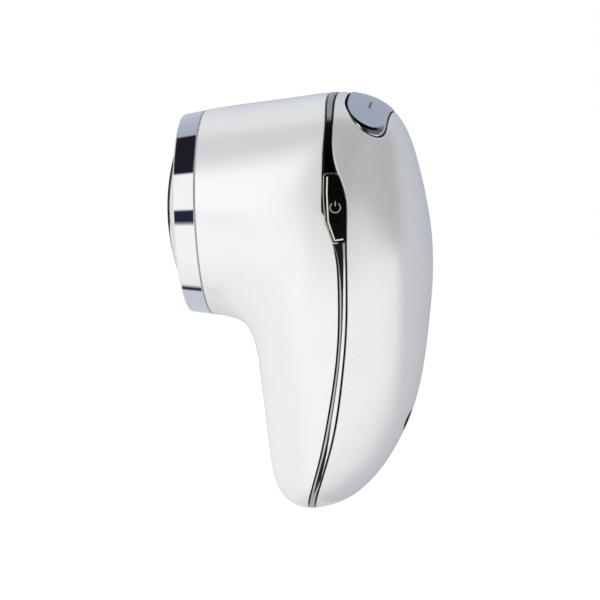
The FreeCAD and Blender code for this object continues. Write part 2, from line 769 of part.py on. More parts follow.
def head_seal():
    """Thin grey seal between the shell and the ring."""
    seal_radius = S.head_radius - S.seal_recess
    return node(turned_body("head_seal", [
        (skirt_radius + S.fit, 0),
        (seal_radius, 0),
        (seal_radius, S.seal_thickness),
        (skirt_radius + S.fit, S.seal_thickness),
    ], head_frame), "head_seal")


def lens():
    """Domed lens, hollow behind, with a flange that the ring holds."""
    dome_edge = ring_front - S.lens_set
    hollow_radius = lens_radius - S.lens_thickness
    return node(turned_body("lens", [
        (0, dome_edge + S.lens_rise),
        (lens_radius, dome_edge, 0, -1),
        (lens_radius, flange_front),
        (flange_radius, flange_front),
        (flange_radius, flange_back),
        (hollow_radius, flange_back),
        (hollow_radius, dome_edge - S.lens_thickness / 2),
        (0, dome_edge + S.lens_rise - S.lens_thickness, 0, 1),
    ], head_frame), "lens")


def lens_gasket():
    """Gasket between the lens flange and the lip of the ring."""
    return node(turned_body("lens_gasket", [
        (lip_radius, flange_front),
        (flange_radius, flange_front),
        (flange_radius, lip_back),
        (lip_radius, lip_back),
    ], head_frame), "lens_gasket")


def head_polar(radius, angle):
    """Placement at a radius and angle round the head axis."""
    turn = FreeCAD.Rotation(AXIS_Z, angle)
    return place_in(head_frame, rotation=turn).multiply(shift(x=radius))


def boss_angles():
    """Angles of the four carrier bosses."""
    return [QUARTER_TURN * step for step in range(4)]


def head_carrier():
    """Cup that holds the light engine, with a ledge and four screw bosses."""
    cup = turned_body("carrier_cup", [
        (carrier_radius, flange_back),
        (carrier_bore, flange_back),
        (carrier_bore, sink_back),
        (ledge_radius, sink_back),
        (ledge_radius, ledge_back),
        (carrier_bore, ledge_back),
        (carrier_bore, -S.carrier_depth),
        (carrier_radius, -S.carrier_depth),
    ], head_frame)
    boss_length = S.carrier_depth + ledge_back
    bosses = []
    pilots = []
    for number, angle in enumerate(boss_angles()):
        foot = head_polar(boss_circle, angle)
        bosses.append(cylinder(f"carrier_boss_{number}", S.boss_radius, boss_length + S.carrier_ledge,
                               place_in(foot, z=-S.carrier_depth)))
        pilots.append(cylinder(f"carrier_pilot_{number}", S.screw_radius + S.screw_play, boss_length,
                               place_in(foot, z=-S.carrier_depth)))
    tubes = shared("carrier_boss_tubes", [
        joined("carrier_bosses", bosses),
        cylinder("carrier_inside", carrier_radius, S.carrier_depth,
                 place_in(head_frame, z=-S.carrier_depth))])
    return node(cut_all("head_carrier", joined("carrier_whole", [cup, tubes]), pilots), "head_carrier")


def led_places():
    """Placements of the light-emitting chips: one in the middle and rings round it."""
    pitch = (stack_radius - S.led_margin) / (len(LED_RINGS) - 1)
    places = []
    for ring, count in enumerate(LED_RINGS):
        for step in range(count):
            places.append(head_polar(pitch * ring, FULL_TURN * step / count))
    return places


def light_engine():
    """Reflector, chips, their board, thermal pad and heat sink."""
    plate = cylinder("reflector_plate", stack_radius, S.reflector_height, place_in(head_frame, z=board_front))
    cups = [cone(f"reflector_cup_{number}", S.reflector_bore / 2, S.reflector_mouth / 2, S.reflector_height,
                 place)
            for number, place in enumerate(led_places())]
    node(cut_all("reflector", plate, cups), "reflector")
    chips = [box(f"led_{number}", S.led_size, S.led_size, S.led_height,
                 place_in(place, x=-S.led_size / 2, y=-S.led_size / 2))
             for number, place in enumerate(led_places())]
    node(group("leds", chips), "leds")
    node(cylinder("led_board", stack_radius, S.led_board_thickness, place_in(head_frame, z=board_back)),
         "led_board")
    node(cylinder("thermal_pad", stack_radius - S.pad_margin, S.pad_thickness,
                  place_in(head_frame, z=pad_back)),
         "thermal_pad")
    node(heat_sink(), "heat_sink")


def heat_sink():
    """Round base plate with a row of fins behind it."""
    body = doc.addObject("PartDesign::Body", "heat_sink_body")
    base_sketch = new_sketch(body, "sink_base_outline", "XY_Plane")
    rim = base_sketch.addGeometry(Part.Circle(Vector(0, 0, 0), AXIS_Z, float(stack_radius)), False)
    base_sketch.addConstraint(Sketcher.Constraint("Coincident", rim, 3, -1, 1))
    number = base_sketch.addConstraint(Sketcher.Constraint("Radius", rim, float(stack_radius)))
    base_sketch.setExpression(f"Constraints[{number}]", stack_radius.formula)
    base = body.newObject("PartDesign::Pad", "sink_base_pad")
    base.Profile = base_sketch
    bind(base, {"Length": S.sink_base})
    fin_sketch = new_sketch(body, "sink_fin_outline", "XY_Plane")
    first = S.fin_pitch * ((1 - FIN_COUNT) / 2) - S.fin_thickness / 2
    half_length = ledge_radius - S.fin_margin
    draw_outline(fin_sketch, [
        (first, -half_length),
        (first + S.fin_thickness, -half_length),
        (first + S.fin_thickness, half_length),
        (first, half_length),
    ])
    fin = body.newObject("PartDesign::Pad", "sink_fin_pad")
    fin.Profile = fin_sketch
    fin.Reversed = True
    bind(fin, {"Length": S.fin_height})
    row_of_fins = body.newObject("PartDesign::LinearPattern", "sink_fins")
    row_of_fins.Originals = [fin]
    row_of_fins.Direction = (origin_part(body, "X_Axis"), [""])
    row_of_fins.Occurrences = FIN_COUNT
    bind(row_of_fins, {"Length": S.fin_pitch * (FIN_COUNT - 1)})
    body.Tip = row_of_fins
    body.Placement = place_in(head_frame, z=sink_back)
    return body


def post_places():
    """Sideways and upward places of the four posts that hold the chassis."""
    circle = S.head_radius - S.post_inset
    spread = circle * POST_SHARES[0]
    rise = circle * POST_SHARES[1]
    return [(side * spread, S.head_lift + level * rise) for side in (-1, 1) for level in (-1, 1)]


def front_shell():
    """Front moulding: hollow head and front of the grip, with a flange for the carrier and four posts."""
    outside = shared("front_outside", [outer_form, front_side])
    skin = cut("front_skin", outside, inner_form)
    slab = cylinder("front_flange_slab", S.body_width, S.shell_flange,
                    place_in(head_frame, z=shell_flange_back))
    half_wall_form = form("half_wall_form", body_form(S.wall / 2))
    disc = shared("front_flange_disc", [slab, half_wall_form])
    opening = cylinder("front_flange_opening", ledge_radius, S.shell_flange + S.overrun * 2,
                       place_in(head_frame, z=shell_flange_back - S.overrun))
    flange = cut("front_flange", disc, opening)
    post_start = -S.head_reach + S.carrier_depth + S.shell_flange / 2
    posts = []
    holes = []
    for number, (side, level) in enumerate(post_places()):
        foot = shift(post_start, side, level)
        posts.append(cylinder(f"front_post_{number}", S.boss_radius, S.chassis_place - post_start,
                              place_in(foot, rotation=ALONG_X)))
        holes.append(cylinder(f"front_post_pilot_{number}", S.screw_radius + S.screw_play,
                              S.screw_length - S.chassis_thickness + S.overrun,
                              place_in(shift(S.chassis_place, side, level), rotation=ALONG_X.inverted())))
    for number, angle in enumerate(boss_angles()):
        holes.append(cylinder(f"front_flange_hole_{number}", S.screw_radius + S.screw_pass,
                              S.shell_flange + S.overrun * 2,
                              place_in(head_polar(boss_circle, angle), z=shell_flange_back - S.overrun)))
    return node(cut_all("front_shell", joined("front_whole", [skin, flange] + posts), holes), "front_shell")


def head_screws():
    """Four screws from behind the shell flange into the carrier."""
    screws = [screw(f"head_screw_{number}", place_in(head_polar(boss_circle, angle), z=shell_flange_back))
              for number, angle in enumerate(boss_angles())]
    return node(group("head_screws", screws), "head_screws")


def shell_screws():
    """Four screws through the chassis into the posts of the front shell."""
    back = S.chassis_place + S.chassis_thickness
    screws = [screw(f"shell_screw_{number}", place_in(shift(back, side, level), rotation=ALONG_X.inverted()))
              for number, (side, level) in enumerate(post_places())]
    return node(group("shell_screws", screws), "shell_screws")


def peg_places():
    """Sideways and upward places of the four locating pegs."""
    upper = [(side * S.upper_peg_spread, S.head_lift + S.upper_peg_rise) for side in (-1, 1)]
    lower = [(side * S.lower_peg_spread, -S.lower_peg_drop) for side in (-1, 1)]
    return upper + lower


def rear_shell():
    """Rear moulding with the rocker opening, the socket collar and four pegged posts."""
    outside = shared("rear_outside", [outer_form, rear_side])
    skin = cut_all("rear_skin", outside, [inner_form, rocker_well])
    chassis_back = S.chassis_place + S.chassis_thickness
    posts = []
    for number, (side, level) in enumerate(peg_places()):
        foot = shift(chassis_back, side, level)
        posts.append(cylinder(f"rear_post_{number}", S.peg_post_radius, body_depth,
                              place_in(foot, rotation=ALONG_X)))
        posts.append(cylinder(f"rear_peg_{number}", S.peg_radius, body_depth,
                              place_in(shift(S.chassis_place, side, level), rotation=ALONG_X)))
    collar = cylinder("socket_collar", S.socket_radius + S.fit + S.collar_wall, S.collar_length,
                      place_in(socket_frame, z=-S.collar_length))
    half_wall_form = doc.getObject("half_wall_form")
    inside = shared("rear_inside", [joined("rear_posts", posts + [collar]), half_wall_form])
    shoulder = -S.socket_set - S.socket_neck
    neck_hole = cylinder("socket_neck_hole", S.socket_mouth + S.fit, S.socket_neck + S.overrun,
                         place_in(socket_frame, z=shoulder))
    body_hole = cylinder("socket_body_hole", S.socket_radius + S.fit, S.socket_length,
                         place_in(socket_frame, z=shoulder - S.socket_length))
    whole = joined("rear_whole", [skin, inside])
    return node(cut_all("rear_shell", whole, [neck_hole, body_hole]), "rear_shell")


def trim_band():
    """Band between the shells: its face flush with them, a wider tongue behind their edges, two windows."""
    face_strip = form("band_strip", band_region(-S.seam_gap))
    tongue_strip = form("tongue_strip", band_region(S.tongue_reach))
    face = shared("band_face", [outer_form, face_strip])
    tongue = shared("band_tongue", [tongue_top_form, tongue_strip])
    windows = [form(f"band_window_{name}", side_block(button_outline(S.fit), side))
               for name, side in (("near", -1), ("far", 1))]
    whole = cut("band_whole", joined("band_blank", [face, tongue]), tongue_back_form)
    return node(cut_all("trim_band", whole, windows + [rocker_well]), "trim_band")


def flanged_cap(name, top_inset, side):
    """Cap that fills a window of the band, with a flange behind the tongue."""
    flange_top = tongue_inner + S.fit
    flange_bottom = flange_top + S.flange_depth
    bottom_form = doc.getObject("cap_bottom_form") or form("cap_bottom_form", body_form(flange_bottom))
    flange_form = doc.getObject("cap_flange_form") or form("cap_flange_form", body_form(flange_top))
    top_form = form(f"{name}_top_form", body_form(top_inset))
    cap_block = form(f"{name}_block", side_block(button_outline(0), side))
    flange_block = form(f"{name}_flange_block", side_block(button_outline(S.button_flange), side))
    cap = cut(f"{name}_cap", shared(f"{name}_cap_outside", [top_form, cap_block]), bottom_form)
    flange = cut(f"{name}_flange", shared(f"{name}_flange_outside", [flange_form, flange_block]), bottom_form)
    return [cap, flange]


flange_end = tongue_inner + S.fit + S.flange_depth + S.button_travel + S.notch_room
stem_start = tongue_inner + S.fit + S.flange_depth / 2
stem_end = tongue_inner + S.fit + S.flange_depth + S.stem_length
plunger_end = stem_end + S.plunger_length
switch_face = stem_end + S.button_travel + S.switch_stop
switch_foot = switch_face + S.switch_height
bracket_face = switch_foot + S.small_board


def at_button(depth, x=0, z=0, side=-1):
    """Placement at a depth below the skin of a window, Z pointing inwards."""
    inwards = ALONG_Y if side < 0 else ALONG_Y.inverted()
    y = side * (button_half_width - float(depth))
    return FreeCAD.Placement(Vector(float(S.button_place + x), y, float(button_level + z)), inwards)


def power_button():
    """Power button with its stem, the switch behind it, the switch's plunger and board."""
    stem = cylinder("button_stem", S.stem_radius, stem_end - stem_start, at_button(stem_start))
    node(joined("power_button", flanged_cap("button", -S.button_proud, -1) + [stem]), "power_button")
    node(cylinder("power_switch_plunger", S.plunger_radius, S.plunger_length, at_button(stem_end)),
         "power_switch_plunger")
    case = box("switch_case", S.switch_size, S.switch_size, S.switch_height,
               place_in(at_button(switch_face), x=-S.switch_size / 2, y=-S.switch_size / 2))
    bore = cylinder("switch_hole", S.plunger_radius + S.fit, S.switch_bore + S.overrun,
                    at_button(switch_face - S.overrun))
    node(cut("power_switch", case, bore), "power_switch")
    node(side_board("power_switch_board", -1), "power_switch_board")


def side_board(name, side):
    """Small board on the chassis bracket behind a window."""
    return box(name, S.small_board_width, S.small_board_length, S.small_board,
               place_in(at_button(switch_foot, side=side), x=-S.small_board_width / 2,
                        y=-S.small_board_length / 2))


def indicator():
    """Fixed dark window on the far side with three small lights behind it."""
    node(joined("indicator_window", flanged_cap("window", S.window_set, 1)), "indicator_window")
    node(side_board("indicator_board", 1), "indicator_board")
    lights = []
    for step in range(SIGNAL_COUNT):
        offset = S.signal_pitch * (step - (SIGNAL_COUNT - 1) / 2)
        lights.append(box(f"signal_{step}", S.signal_size, S.signal_size, S.signal_size,
                          place_in(at_button(switch_foot - S.signal_size, side=1), x=-S.signal_size / 2,
                                   y=offset - S.signal_size / 2)))
    node(group("indicator_leds", lights), "indicator_leds")


def chassis():
    """Inner frame: a plate across the body with brackets, battery saddles, standoffs, shelf and tower."""
    plate_foot = S.chassis_lift - S.tip_drop
    shelf_low = S.rocker_board_depth + S.small_board + S.shelf_thickness
    shelf_length = S.shelf_front + S.shelf_back
    plate_top = rocker_frame.multVec(Vector(0, 0, -float(shelf_low - S.shelf_thickness / 2))).z
    slab = box("chassis_slab", S.chassis_thickness, S.body_width, plate_top - float(plate_foot),
               shift(S.chassis_place, -S.body_width / 2, plate_foot))
    shelf = box("chassis_shelf", shelf_length, S.rocker_board_length + S.shelf_thickness, S.shelf_thickness,
                place_in(rocker_frame, -S.shelf_front, -(S.rocker_board_length + S.shelf_thickness) / 2,
                         -shelf_low))
    plate = shared("chassis_plate", [joined("chassis_flat", [slab, shelf]), chassis_form])
    tower_top = -S.pivot_depth + S.pin_radius + S.tower_rim
    tower = box("chassis_tower", S.tower_width, S.lug_width, tower_top + shelf_low - S.shelf_thickness / 2,
                place_in(rocker_frame, -S.tower_width / 2, -S.lug_width / 2,
                         -shelf_low + S.shelf_thickness / 2))
    additions = [tower] + battery_saddles() + board_standoffs()
    brackets = []
    removals = [cylinder("tower_bore", S.pin_radius, S.tower_width + S.overrun * 2,
                         place_in(rocker_frame, -S.tower_width / 2 - S.overrun, 0, -S.pivot_depth, ALONG_X))]
    for name, side in (("near", -1), ("far", 1)):
        removals.append(side_notch(f"board_{name}", side, bracket_face, S.small_board_length))
        removals.append(side_notch(f"cap_{name}", side, flange_end + button_end_drop,
                                   S.button_length + S.button_flange * 2))
        brackets.append(side_bracket(name, side))
    for number, (side, level) in enumerate(post_places()):
        removals.append(chassis_hole(f"chassis_screw_hole_{number}", S.screw_radius + S.screw_pass,
                                     side, level))
    for number, (side, level) in enumerate(peg_places()):
        removals.append(chassis_hole(f"chassis_peg_hole_{number}", S.peg_radius + S.screw_play, side, level))
    relief_length = S.socket_length + S.tab_length
    removals.append(cylinder("socket_relief", S.socket_radius + S.fit, relief_length,
                             place_in(socket_frame, z=-S.socket_set - relief_length - S.fit)))
    for number, (side, level) in enumerate(board_screw_places()):
        removals.append(cylinder(f"standoff_pilot_{number}", S.screw_radius + S.screw_play,
                                 S.screw_length, place_in(shift(board_face, side, level),
                                                          rotation=ALONG_X.inverted())))
    notched = cut_all("chassis_notched", joined("chassis_bare", [plate] + additions), removals)
    return node(joined("chassis", [notched] + brackets), "chassis")


def chassis_hole(name, radius, side, level):
    """Hole through the chassis plate."""
    return cylinder(name, radius, S.chassis_thickness + S.overrun * 2,
                    place_in(shift(S.chassis_place - S.overrun, side, level), rotation=ALONG_X))


def side_notch(name, side, depth, length):
    """Room in the edge of the chassis, down to a depth below the skin, for what lies behind a window."""
    reach = S.body_width / 2
    return box(f"notch_{name}", S.chassis_thickness + S.overrun * 2, length + S.notch_room * 2, reach,
               place_in(at_button(depth - reach, side=side), S.chassis_place - S.button_place - S.overrun,
                        -length / 2 - S.notch_room))


def side_bracket(name, side):
    """Flat bracket of the chassis that a switch board sits on."""
    return box(f"bracket_{name}", S.small_board_width, S.small_board_length, S.bracket_thickness,
               place_in(at_button(bracket_face, side=side), -S.small_board_width / 2,
                        -S.small_board_length / 2))


battery_x = S.chassis_place - S.battery_gap - S.battery_radius
battery_foot = S.battery_lift - S.tip_drop


def battery_saddles():
    """Two cradles on the front of the chassis, hollowed for the cell."""
    middle = battery_foot + S.battery_length / 2
    saddles = []
    for name, level in (("low", -1), ("high", 1)):
        foot = middle + level * S.saddle_spread - S.saddle_width / 2
        half_width = S.battery_radius + S.saddle_wall
        block = box(f"saddle_block_{name}", S.chassis_place - battery_x, half_width * 2, S.saddle_width,
                    shift(battery_x, -half_width, foot))
        hollow = cylinder(f"saddle_hollow_{name}", S.battery_radius, S.saddle_width + S.overrun * 2,
                          shift(battery_x, 0, foot - S.overrun))
        saddles.append(cut(f"saddle_{name}", block, hollow))
    return saddles


def battery():
    """Rechargeable cell in the saddles, with a raised terminal on its upper end."""
    top = S.battery_length
    return node(turned_body("battery", [
        (0, 0),
        (S.battery_radius, 0),
        (S.battery_radius, top),
        (S.terminal_radius, top),
        (S.terminal_radius, top + S.terminal_height),
        (0, top + S.terminal_height),
    ], shift(battery_x, 0, battery_foot)), "battery")


board_face = S.chassis_place + S.chassis_thickness + S.standoff_height


def board_screw_places():
    """Sideways and upward places of the board screws."""
    reach = S.board_width / 2 - S.board_margin
    levels = (S.board_foot + S.board_margin, S.board_foot + S.board_length - S.board_margin)
    return [(side * reach, level) for side in (-1, 1) for level in levels]


def board_standoffs():
    """Four short posts on the back of the chassis."""
    return [cylinder(f"standoff_{number}", S.standoff_radius, S.standoff_height + S.chassis_thickness / 2,
                     place_in(shift(S.chassis_place + S.chassis_thickness / 2, side, level),
                              rotation=ALONG_X))
            for number, (side, level) in enumerate(board_screw_places())]


def main_board():
    """Main board on its standoffs, with chips, a battery connector and four screws."""
    panel = box("board_panel", S.board_thickness, S.board_width, S.board_length,
                shift(board_face, -S.board_width / 2, S.board_foot))
    back = board_face + S.board_thickness
    holes = [cylinder(f"board_hole_{number}", S.screw_radius + S.screw_pass,
                      S.board_thickness + S.overrun * 2,
                      place_in(shift(board_face - S.overrun, side, level), rotation=ALONG_X))
             for number, (side, level) in enumerate(board_screw_places())]
    node(cut_all("main_board", panel, holes), "main_board")
    screws = [screw(f"board_screw_{number}", place_in(shift(back, side, level), rotation=ALONG_X.inverted()))
              for number, (side, level) in enumerate(board_screw_places())]
    node(group("board_screws", screws), "board_screws")
    middle = S.board_foot + S.board_length / 2
    chips = [box(f"chip_{number}", S.chip_height, S.chip_size, S.chip_size,
                 shift(back, -S.chip_size / 2, middle + S.chip_size * level))
             for number, level in enumerate(CHIP_SHARES)]
    node(group("controller_chips", chips), "controller_chips")
    node(box("battery_connector", S.connector_height, S.connector_width, S.connector_depth,
             shift(back, -S.connector_width / 2, S.board_foot + S.board_margin)), "battery_connector")


def rounded_crown(name, blank):
    """The rocker's blank with the rim of its upper face rounded."""
    doc.recompute()
    broad_faces = sorted(blank.Shape.Faces, key=lambda face: face.Area)[-2:]
    upper = max(broad_faces, key=lambda face: face.CenterOfMass.z)
    radius = float(S.rocker_round)
    rounded = doc.addObject("Part::Fillet", name)
    rounded.Base = blank
    rounded.Edges = [(number, radius, radius) for number, edge in enumerate(blank.Shape.Edges, start=1)
                     if any(edge.isSame(rim) for rim in upper.Edges)]
    return rounded


def level_rocker():
    """Rocker on the top of the body: a flat crown over a skirt, two lugs on the pin and two stems."""
    crown = form("rocker_crown", body_form(-S.rocker_rise, S.rocker_spread))
    bottom = form("rocker_bottom", body_form(S.wall + S.rocker_depth))
    block = form("rocker_block", upward_block(rocker_outline(0)))
    blank = cut("rocker_blank", shared("rocker_cap_outside", [crown, block]), bottom)
    cap = rounded_crown("rocker_cap", blank)
    lug_low = -S.pivot_depth - S.pin_radius - S.lug_rim
    lug_high = -S.wall
    lugs = []
    lug_near = S.tower_width / 2 + S.fit
    for name, place in (("front", -lug_near - S.lug_thickness), ("back", lug_near)):
        lugs.append(box(f"rocker_lug_{name}", S.lug_thickness, S.lug_width, lug_high - lug_low,
                        place_in(rocker_frame, place, -S.lug_width / 2, lug_low)))
    stem_foot = -S.rocker_board_depth + S.rocker_switch_height + S.rocker_plunger + S.rocker_free_travel
    stems = []
    for name, side in (("near", -1), ("far", 1)):
        blank = cylinder(f"rocker_stem_blank_{name}", S.stem_radius, -stem_foot,
                         place_in(rocker_frame, 0, side * S.rocker_switch_spread, stem_foot))
        stems.append(shared(f"rocker_stem_{name}", [blank, outer_form]))
    bore = cylinder("rocker_bore", S.pin_radius + S.pin_play, S.rocker_length,
                    place_in(rocker_frame, -S.rocker_length / 2, 0, -S.pivot_depth, ALONG_X))
    node(cut("level_rocker", joined("rocker_whole", [cap] + lugs + stems), bore), "level_rocker")
    pin_length = (lug_near + S.lug_thickness) * 2
    node(cylinder("rocker_pin", S.pin_radius, pin_length,
                  place_in(rocker_frame, -pin_length / 2, 0, -S.pivot_depth, ALONG_X)), "rocker_pin")


def rocker_switches():
    """Board on the chassis shelf with two tact switches, one under each end of the rocker."""
    board_top = -S.rocker_board_depth
    panel = box("rocker_panel", S.rocker_board_width, S.rocker_board_length, S.small_board,
                place_in(rocker_frame, -S.rocker_board_width / 2, -S.rocker_board_length / 2,
                         board_top - S.small_board))
    hole_length = S.tower_width + S.tower_room * 2
    hole_width = S.lug_width + S.tower_room * 2
    hole = box("rocker_panel_hole", hole_length, hole_width, S.small_board + S.overrun * 2,
               place_in(rocker_frame, -hole_length / 2, -hole_width / 2,
                        board_top - S.small_board - S.overrun))
    node(cut("rocker_board", panel, hole), "rocker_board")
    switches = []
    for name, side in (("near", -1), ("far", 1)):
        foot = place_in(rocker_frame, 0, side * S.rocker_switch_spread, board_top)
        case = box(f"rocker_switch_case_{name}", S.switch_size, S.switch_size, S.rocker_switch_height,
                   place_in(foot, -S.switch_size / 2, -S.switch_size / 2))
        plunger = cylinder(f"rocker_switch_plunger_{name}", S.plunger_radius, S.rocker_plunger,
                           place_in(foot, z=S.rocker_switch_height))
        switches.append(joined(f"rocker_switch_{name}", [case, plunger]))
    node(group("rocker_switches", switches), "rocker_switches")


def charge_socket():
    """Round charging socket in the collar of the rear shell, its centre pin and solder tabs."""
    mouth = -S.socket_set
    shoulder = mouth - S.socket_neck
    back = mouth - S.socket_length
    floor = back + S.socket_floor
    node(turned_body("charge_socket", [
        (S.socket_bore, mouth),
        (S.socket_bore, floor),
        (S.socket_pin_root, floor),
        (S.socket_pin_root, back),
        (S.socket_radius, back),
        (S.socket_radius, shoulder),
        (S.socket_mouth, shoulder),
        (S.socket_mouth, mouth),
    ], socket_frame), "charge_socket")
    node(turned_body("charge_pin", [
        (0, back),
        (S.socket_pin_root, back),
        (S.socket_pin_root, floor),
        (S.socket_pin, floor),
        (S.socket_pin, mouth - S.socket_pin_set),
        (0, mouth - S.socket_pin_set),
    ], socket_frame), "charge_pin")
    tabs = [box(f"socket_tab_{number}", S.tab_thickness, S.tab_width, S.tab_length,
                place_in(socket_frame, -S.tab_thickness / 2, side * S.socket_bore - S.tab_width / 2,
                         back - S.tab_length))
            for number, side in enumerate((-1, 1))]
    node(group("socket_tabs", tabs), "socket_tabs")


front_shell()
rear_shell()
trim_band()
head_ring()
head_seal()
lens()
lens_gasket()
head_carrier()
light_engine()
head_screws()
shell_screws()
chassis()
battery()
main_board()
power_button()
indicator()
level_rocker()
rocker_switches()
charge_socket()
doc.recompute()

# Every feature has to be sound before anything is written
for feature in doc.Objects:
    if "Invalid" in feature.State or "Error" in feature.State:
        raise RuntimeError(f"{feature.Label} failed: {feature.State}")
for feature in node_objects:
    if feature.Shape.isNull() or not feature.Shape.isValid() or not feature.Shape.Solids:
        raise RuntimeError(f"{feature.Label} is not a sound solid")

os.makedirs("parts", exist_ok=True)
for feature in node_objects:
    feature.Shape.exportStep(os.path.join("parts", f"{feature.Label}.step"))
print(f"{len(node_objects)} sub-parts written")
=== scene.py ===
# %% [markdown]
# # A hand-held skincare device, dressed around its CAD frame
# The real object is a pear-shaped pearl white moulding with a round head, a polished ring, a dark polished
# band down each side, a black power button in that band and a polished rocker on top. The CAD frame already
# holds every piece at its real size and place, so this lesson only adds what the eye sees: smooth skins,
# rounded edges and finishes. Loading the frame comes first, because every later piece takes its place from
# it.

# %% Load the frame
import json
import math

import bmesh
import bpy
import numpy as np
from mathutils import Matrix, Vector


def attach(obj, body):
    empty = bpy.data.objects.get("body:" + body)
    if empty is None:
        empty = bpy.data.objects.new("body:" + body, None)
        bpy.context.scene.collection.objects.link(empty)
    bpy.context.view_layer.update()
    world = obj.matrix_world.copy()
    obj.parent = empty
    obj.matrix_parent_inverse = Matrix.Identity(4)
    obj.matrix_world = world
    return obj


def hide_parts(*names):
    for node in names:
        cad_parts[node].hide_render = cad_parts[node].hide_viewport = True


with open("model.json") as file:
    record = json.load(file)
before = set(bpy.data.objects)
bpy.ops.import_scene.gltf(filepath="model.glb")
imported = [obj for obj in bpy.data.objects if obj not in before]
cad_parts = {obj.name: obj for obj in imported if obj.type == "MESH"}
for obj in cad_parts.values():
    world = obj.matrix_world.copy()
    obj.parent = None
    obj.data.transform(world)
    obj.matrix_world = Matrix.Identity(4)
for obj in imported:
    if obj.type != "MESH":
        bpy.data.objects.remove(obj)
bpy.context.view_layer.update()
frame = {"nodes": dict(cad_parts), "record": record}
slot_of_node = {part["node"]: part["material_slot"] for part in frame["record"]["subparts"]}

# %% [markdown]
# ## Camera
# The photograph was taken from the side with a long lens, a little behind the head and a little above it. A
# camera could be placed by eye, but a target, two angles and a distance are easier to correct one at a
# time. The lens follows from the width that the picture covers at the target.

# %% Camera at the photograph's angle
MM = 0.001
CAMERA_TARGET = Vector((-12.0, 0, 24.2)) * MM
CAMERA_AZIMUTH = math.radians(8.4)
CAMERA_ELEVATION = math.radians(1.0)
CAMERA_DISTANCE = 2600 * MM
PICTURE_WIDTH = 179.1 * MM

scene = bpy.context.scene
scene.view_settings.view_transform = "Standard"
camera_data = bpy.data.cameras.new("photo_camera")
camera_data.lens = camera_data.sensor_width * CAMERA_DISTANCE / PICTURE_WIDTH
camera = bpy.data.objects.new("photo_camera", camera_data)
scene.collection.objects.link(camera)
towards_camera = Vector((math.sin(CAMERA_AZIMUTH) * math.cos(CAMERA_ELEVATION),
                         -math.cos(CAMERA_AZIMUTH) * math.cos(CAMERA_ELEVATION),
                         math.sin(CAMERA_ELEVATION)))
camera.location = CAMERA_TARGET + towards_camera * CAMERA_DISTANCE
camera.rotation_euler = (-towards_camera).to_track_quat("-Z", "Y").to_euler()
scene.camera = camera
print("camera lens:", round(camera_data.lens, 1), "mm")

# %% [markdown]
# ## Shader arithmetic
# A finish is a small sum: a base colour plus some grain, a roughness that drifts a little. Wiring that by
# hand hides the sum behind dozens of node calls. One small class wraps an output socket, so that Python's
# own operators add the Math nodes, and one method makes every other node.


# %% Wire: a node's output with Python's operators
class Wire:
    """One output of a node. Sums and products of wires add Math nodes."""

    def __init__(self, tree, socket=None):
        self.tree = tree
        self.socket = socket

    def node(self, kind, settings=None, inputs=None, output=0):
        """New node: its settings first, then a value or a wire for each input."""
        made = self.tree.nodes.new(kind)
        for name, value in (settings or {}).items():
            if name == "stops":
                set_stops(made.color_ramp, value)
            else:
                setattr(made, name, value)
        for name, value in (inputs or {}).items():
            self.feed(made.inputs[name], value)
        return Wire(self.tree, made.outputs[output] if made.outputs else None)

    def beside(self, output):
        """Another output of the same node."""
        return Wire(self.tree, self.socket.node.outputs[output])

    def feed(self, socket, value):
        """Link a wire to a socket, or set a plain value on it; a colour is made opaque."""
        if isinstance(value, Wire):
            self.tree.links.new(value.socket, socket)
        elif socket.type == "RGBA":
            socket.default_value = (*value, 1.0)
        else:
            socket.default_value = value

    def math(self, operation, first, second):
        return self.node("ShaderNodeMath", {"operation": operation}, {0: first, 1: second})

    def vector(self, operation, inputs, output=0):
        return self.node("ShaderNodeVectorMath", {"operation": operation}, inputs, output)

    def __add__(self, other):
        return self.math("ADD", self, other)

    def __radd__(self, other):
        return self.math("ADD", other, self)

    def __sub__(self, other):
        return self.math("SUBTRACT", self, other)

    def __rsub__(self, other):
        return self.math("SUBTRACT", other, self)

    def __mul__(self, other):
        return self.math("MULTIPLY", self, other)

    def __rmul__(self, other):
        return self.math("MULTIPLY", other, self)

    def __truediv__(self, other):
        return self.math("DIVIDE", self, other)

    def between(self, low, high):
        """Value that goes from low to high as this wire goes from 0 to 1."""
        return low + self * (high - low)

    def fade(self, start, end):
        """Soft step from 0 at the start to 1 at the end."""
        return self.node("ShaderNodeMapRange", {"interpolation_type": "SMOOTHSTEP"},
                         {"Value": self, "From Min": start, "From Max": end})

    def within(self, start, full, falling, end):
        """Soft window: 0 outside, 1 from full to falling."""
        return self.fade(start, full) * (1 - self.fade(falling, end))

    def choose(self, first, second):
        """Colour between two colours, with this wire as the factor."""
        return self.node("ShaderNodeMix", {"data_type": "RGBA"}, {0: self, 6: first, 7: second}, output=2)


def set_stops(ramp, stops):
    """Give a colour ramp its stops, each a place and a colour."""
    while len(ramp.elements) < len(stops):
        ramp.elements.new(1.0)
    for element, (place, colour) in zip(ramp.elements, stops):
        element.position = place
        element.color = (*colour, 1.0)


print("shader arithmetic ready")

# %% [markdown]
# ## Studio light
# Polished plating has no colour of its own: it shows the room. On the real ring one sees, from top to
# bottom, a grey ceiling, a black panel, a white soft box, a thin dark gap and a white table. A picture of a
# studio would give that too, but nothing in it could be moved by itself. So the room is painted by
# direction in the world shader, as bands of angle about the axis of the head.

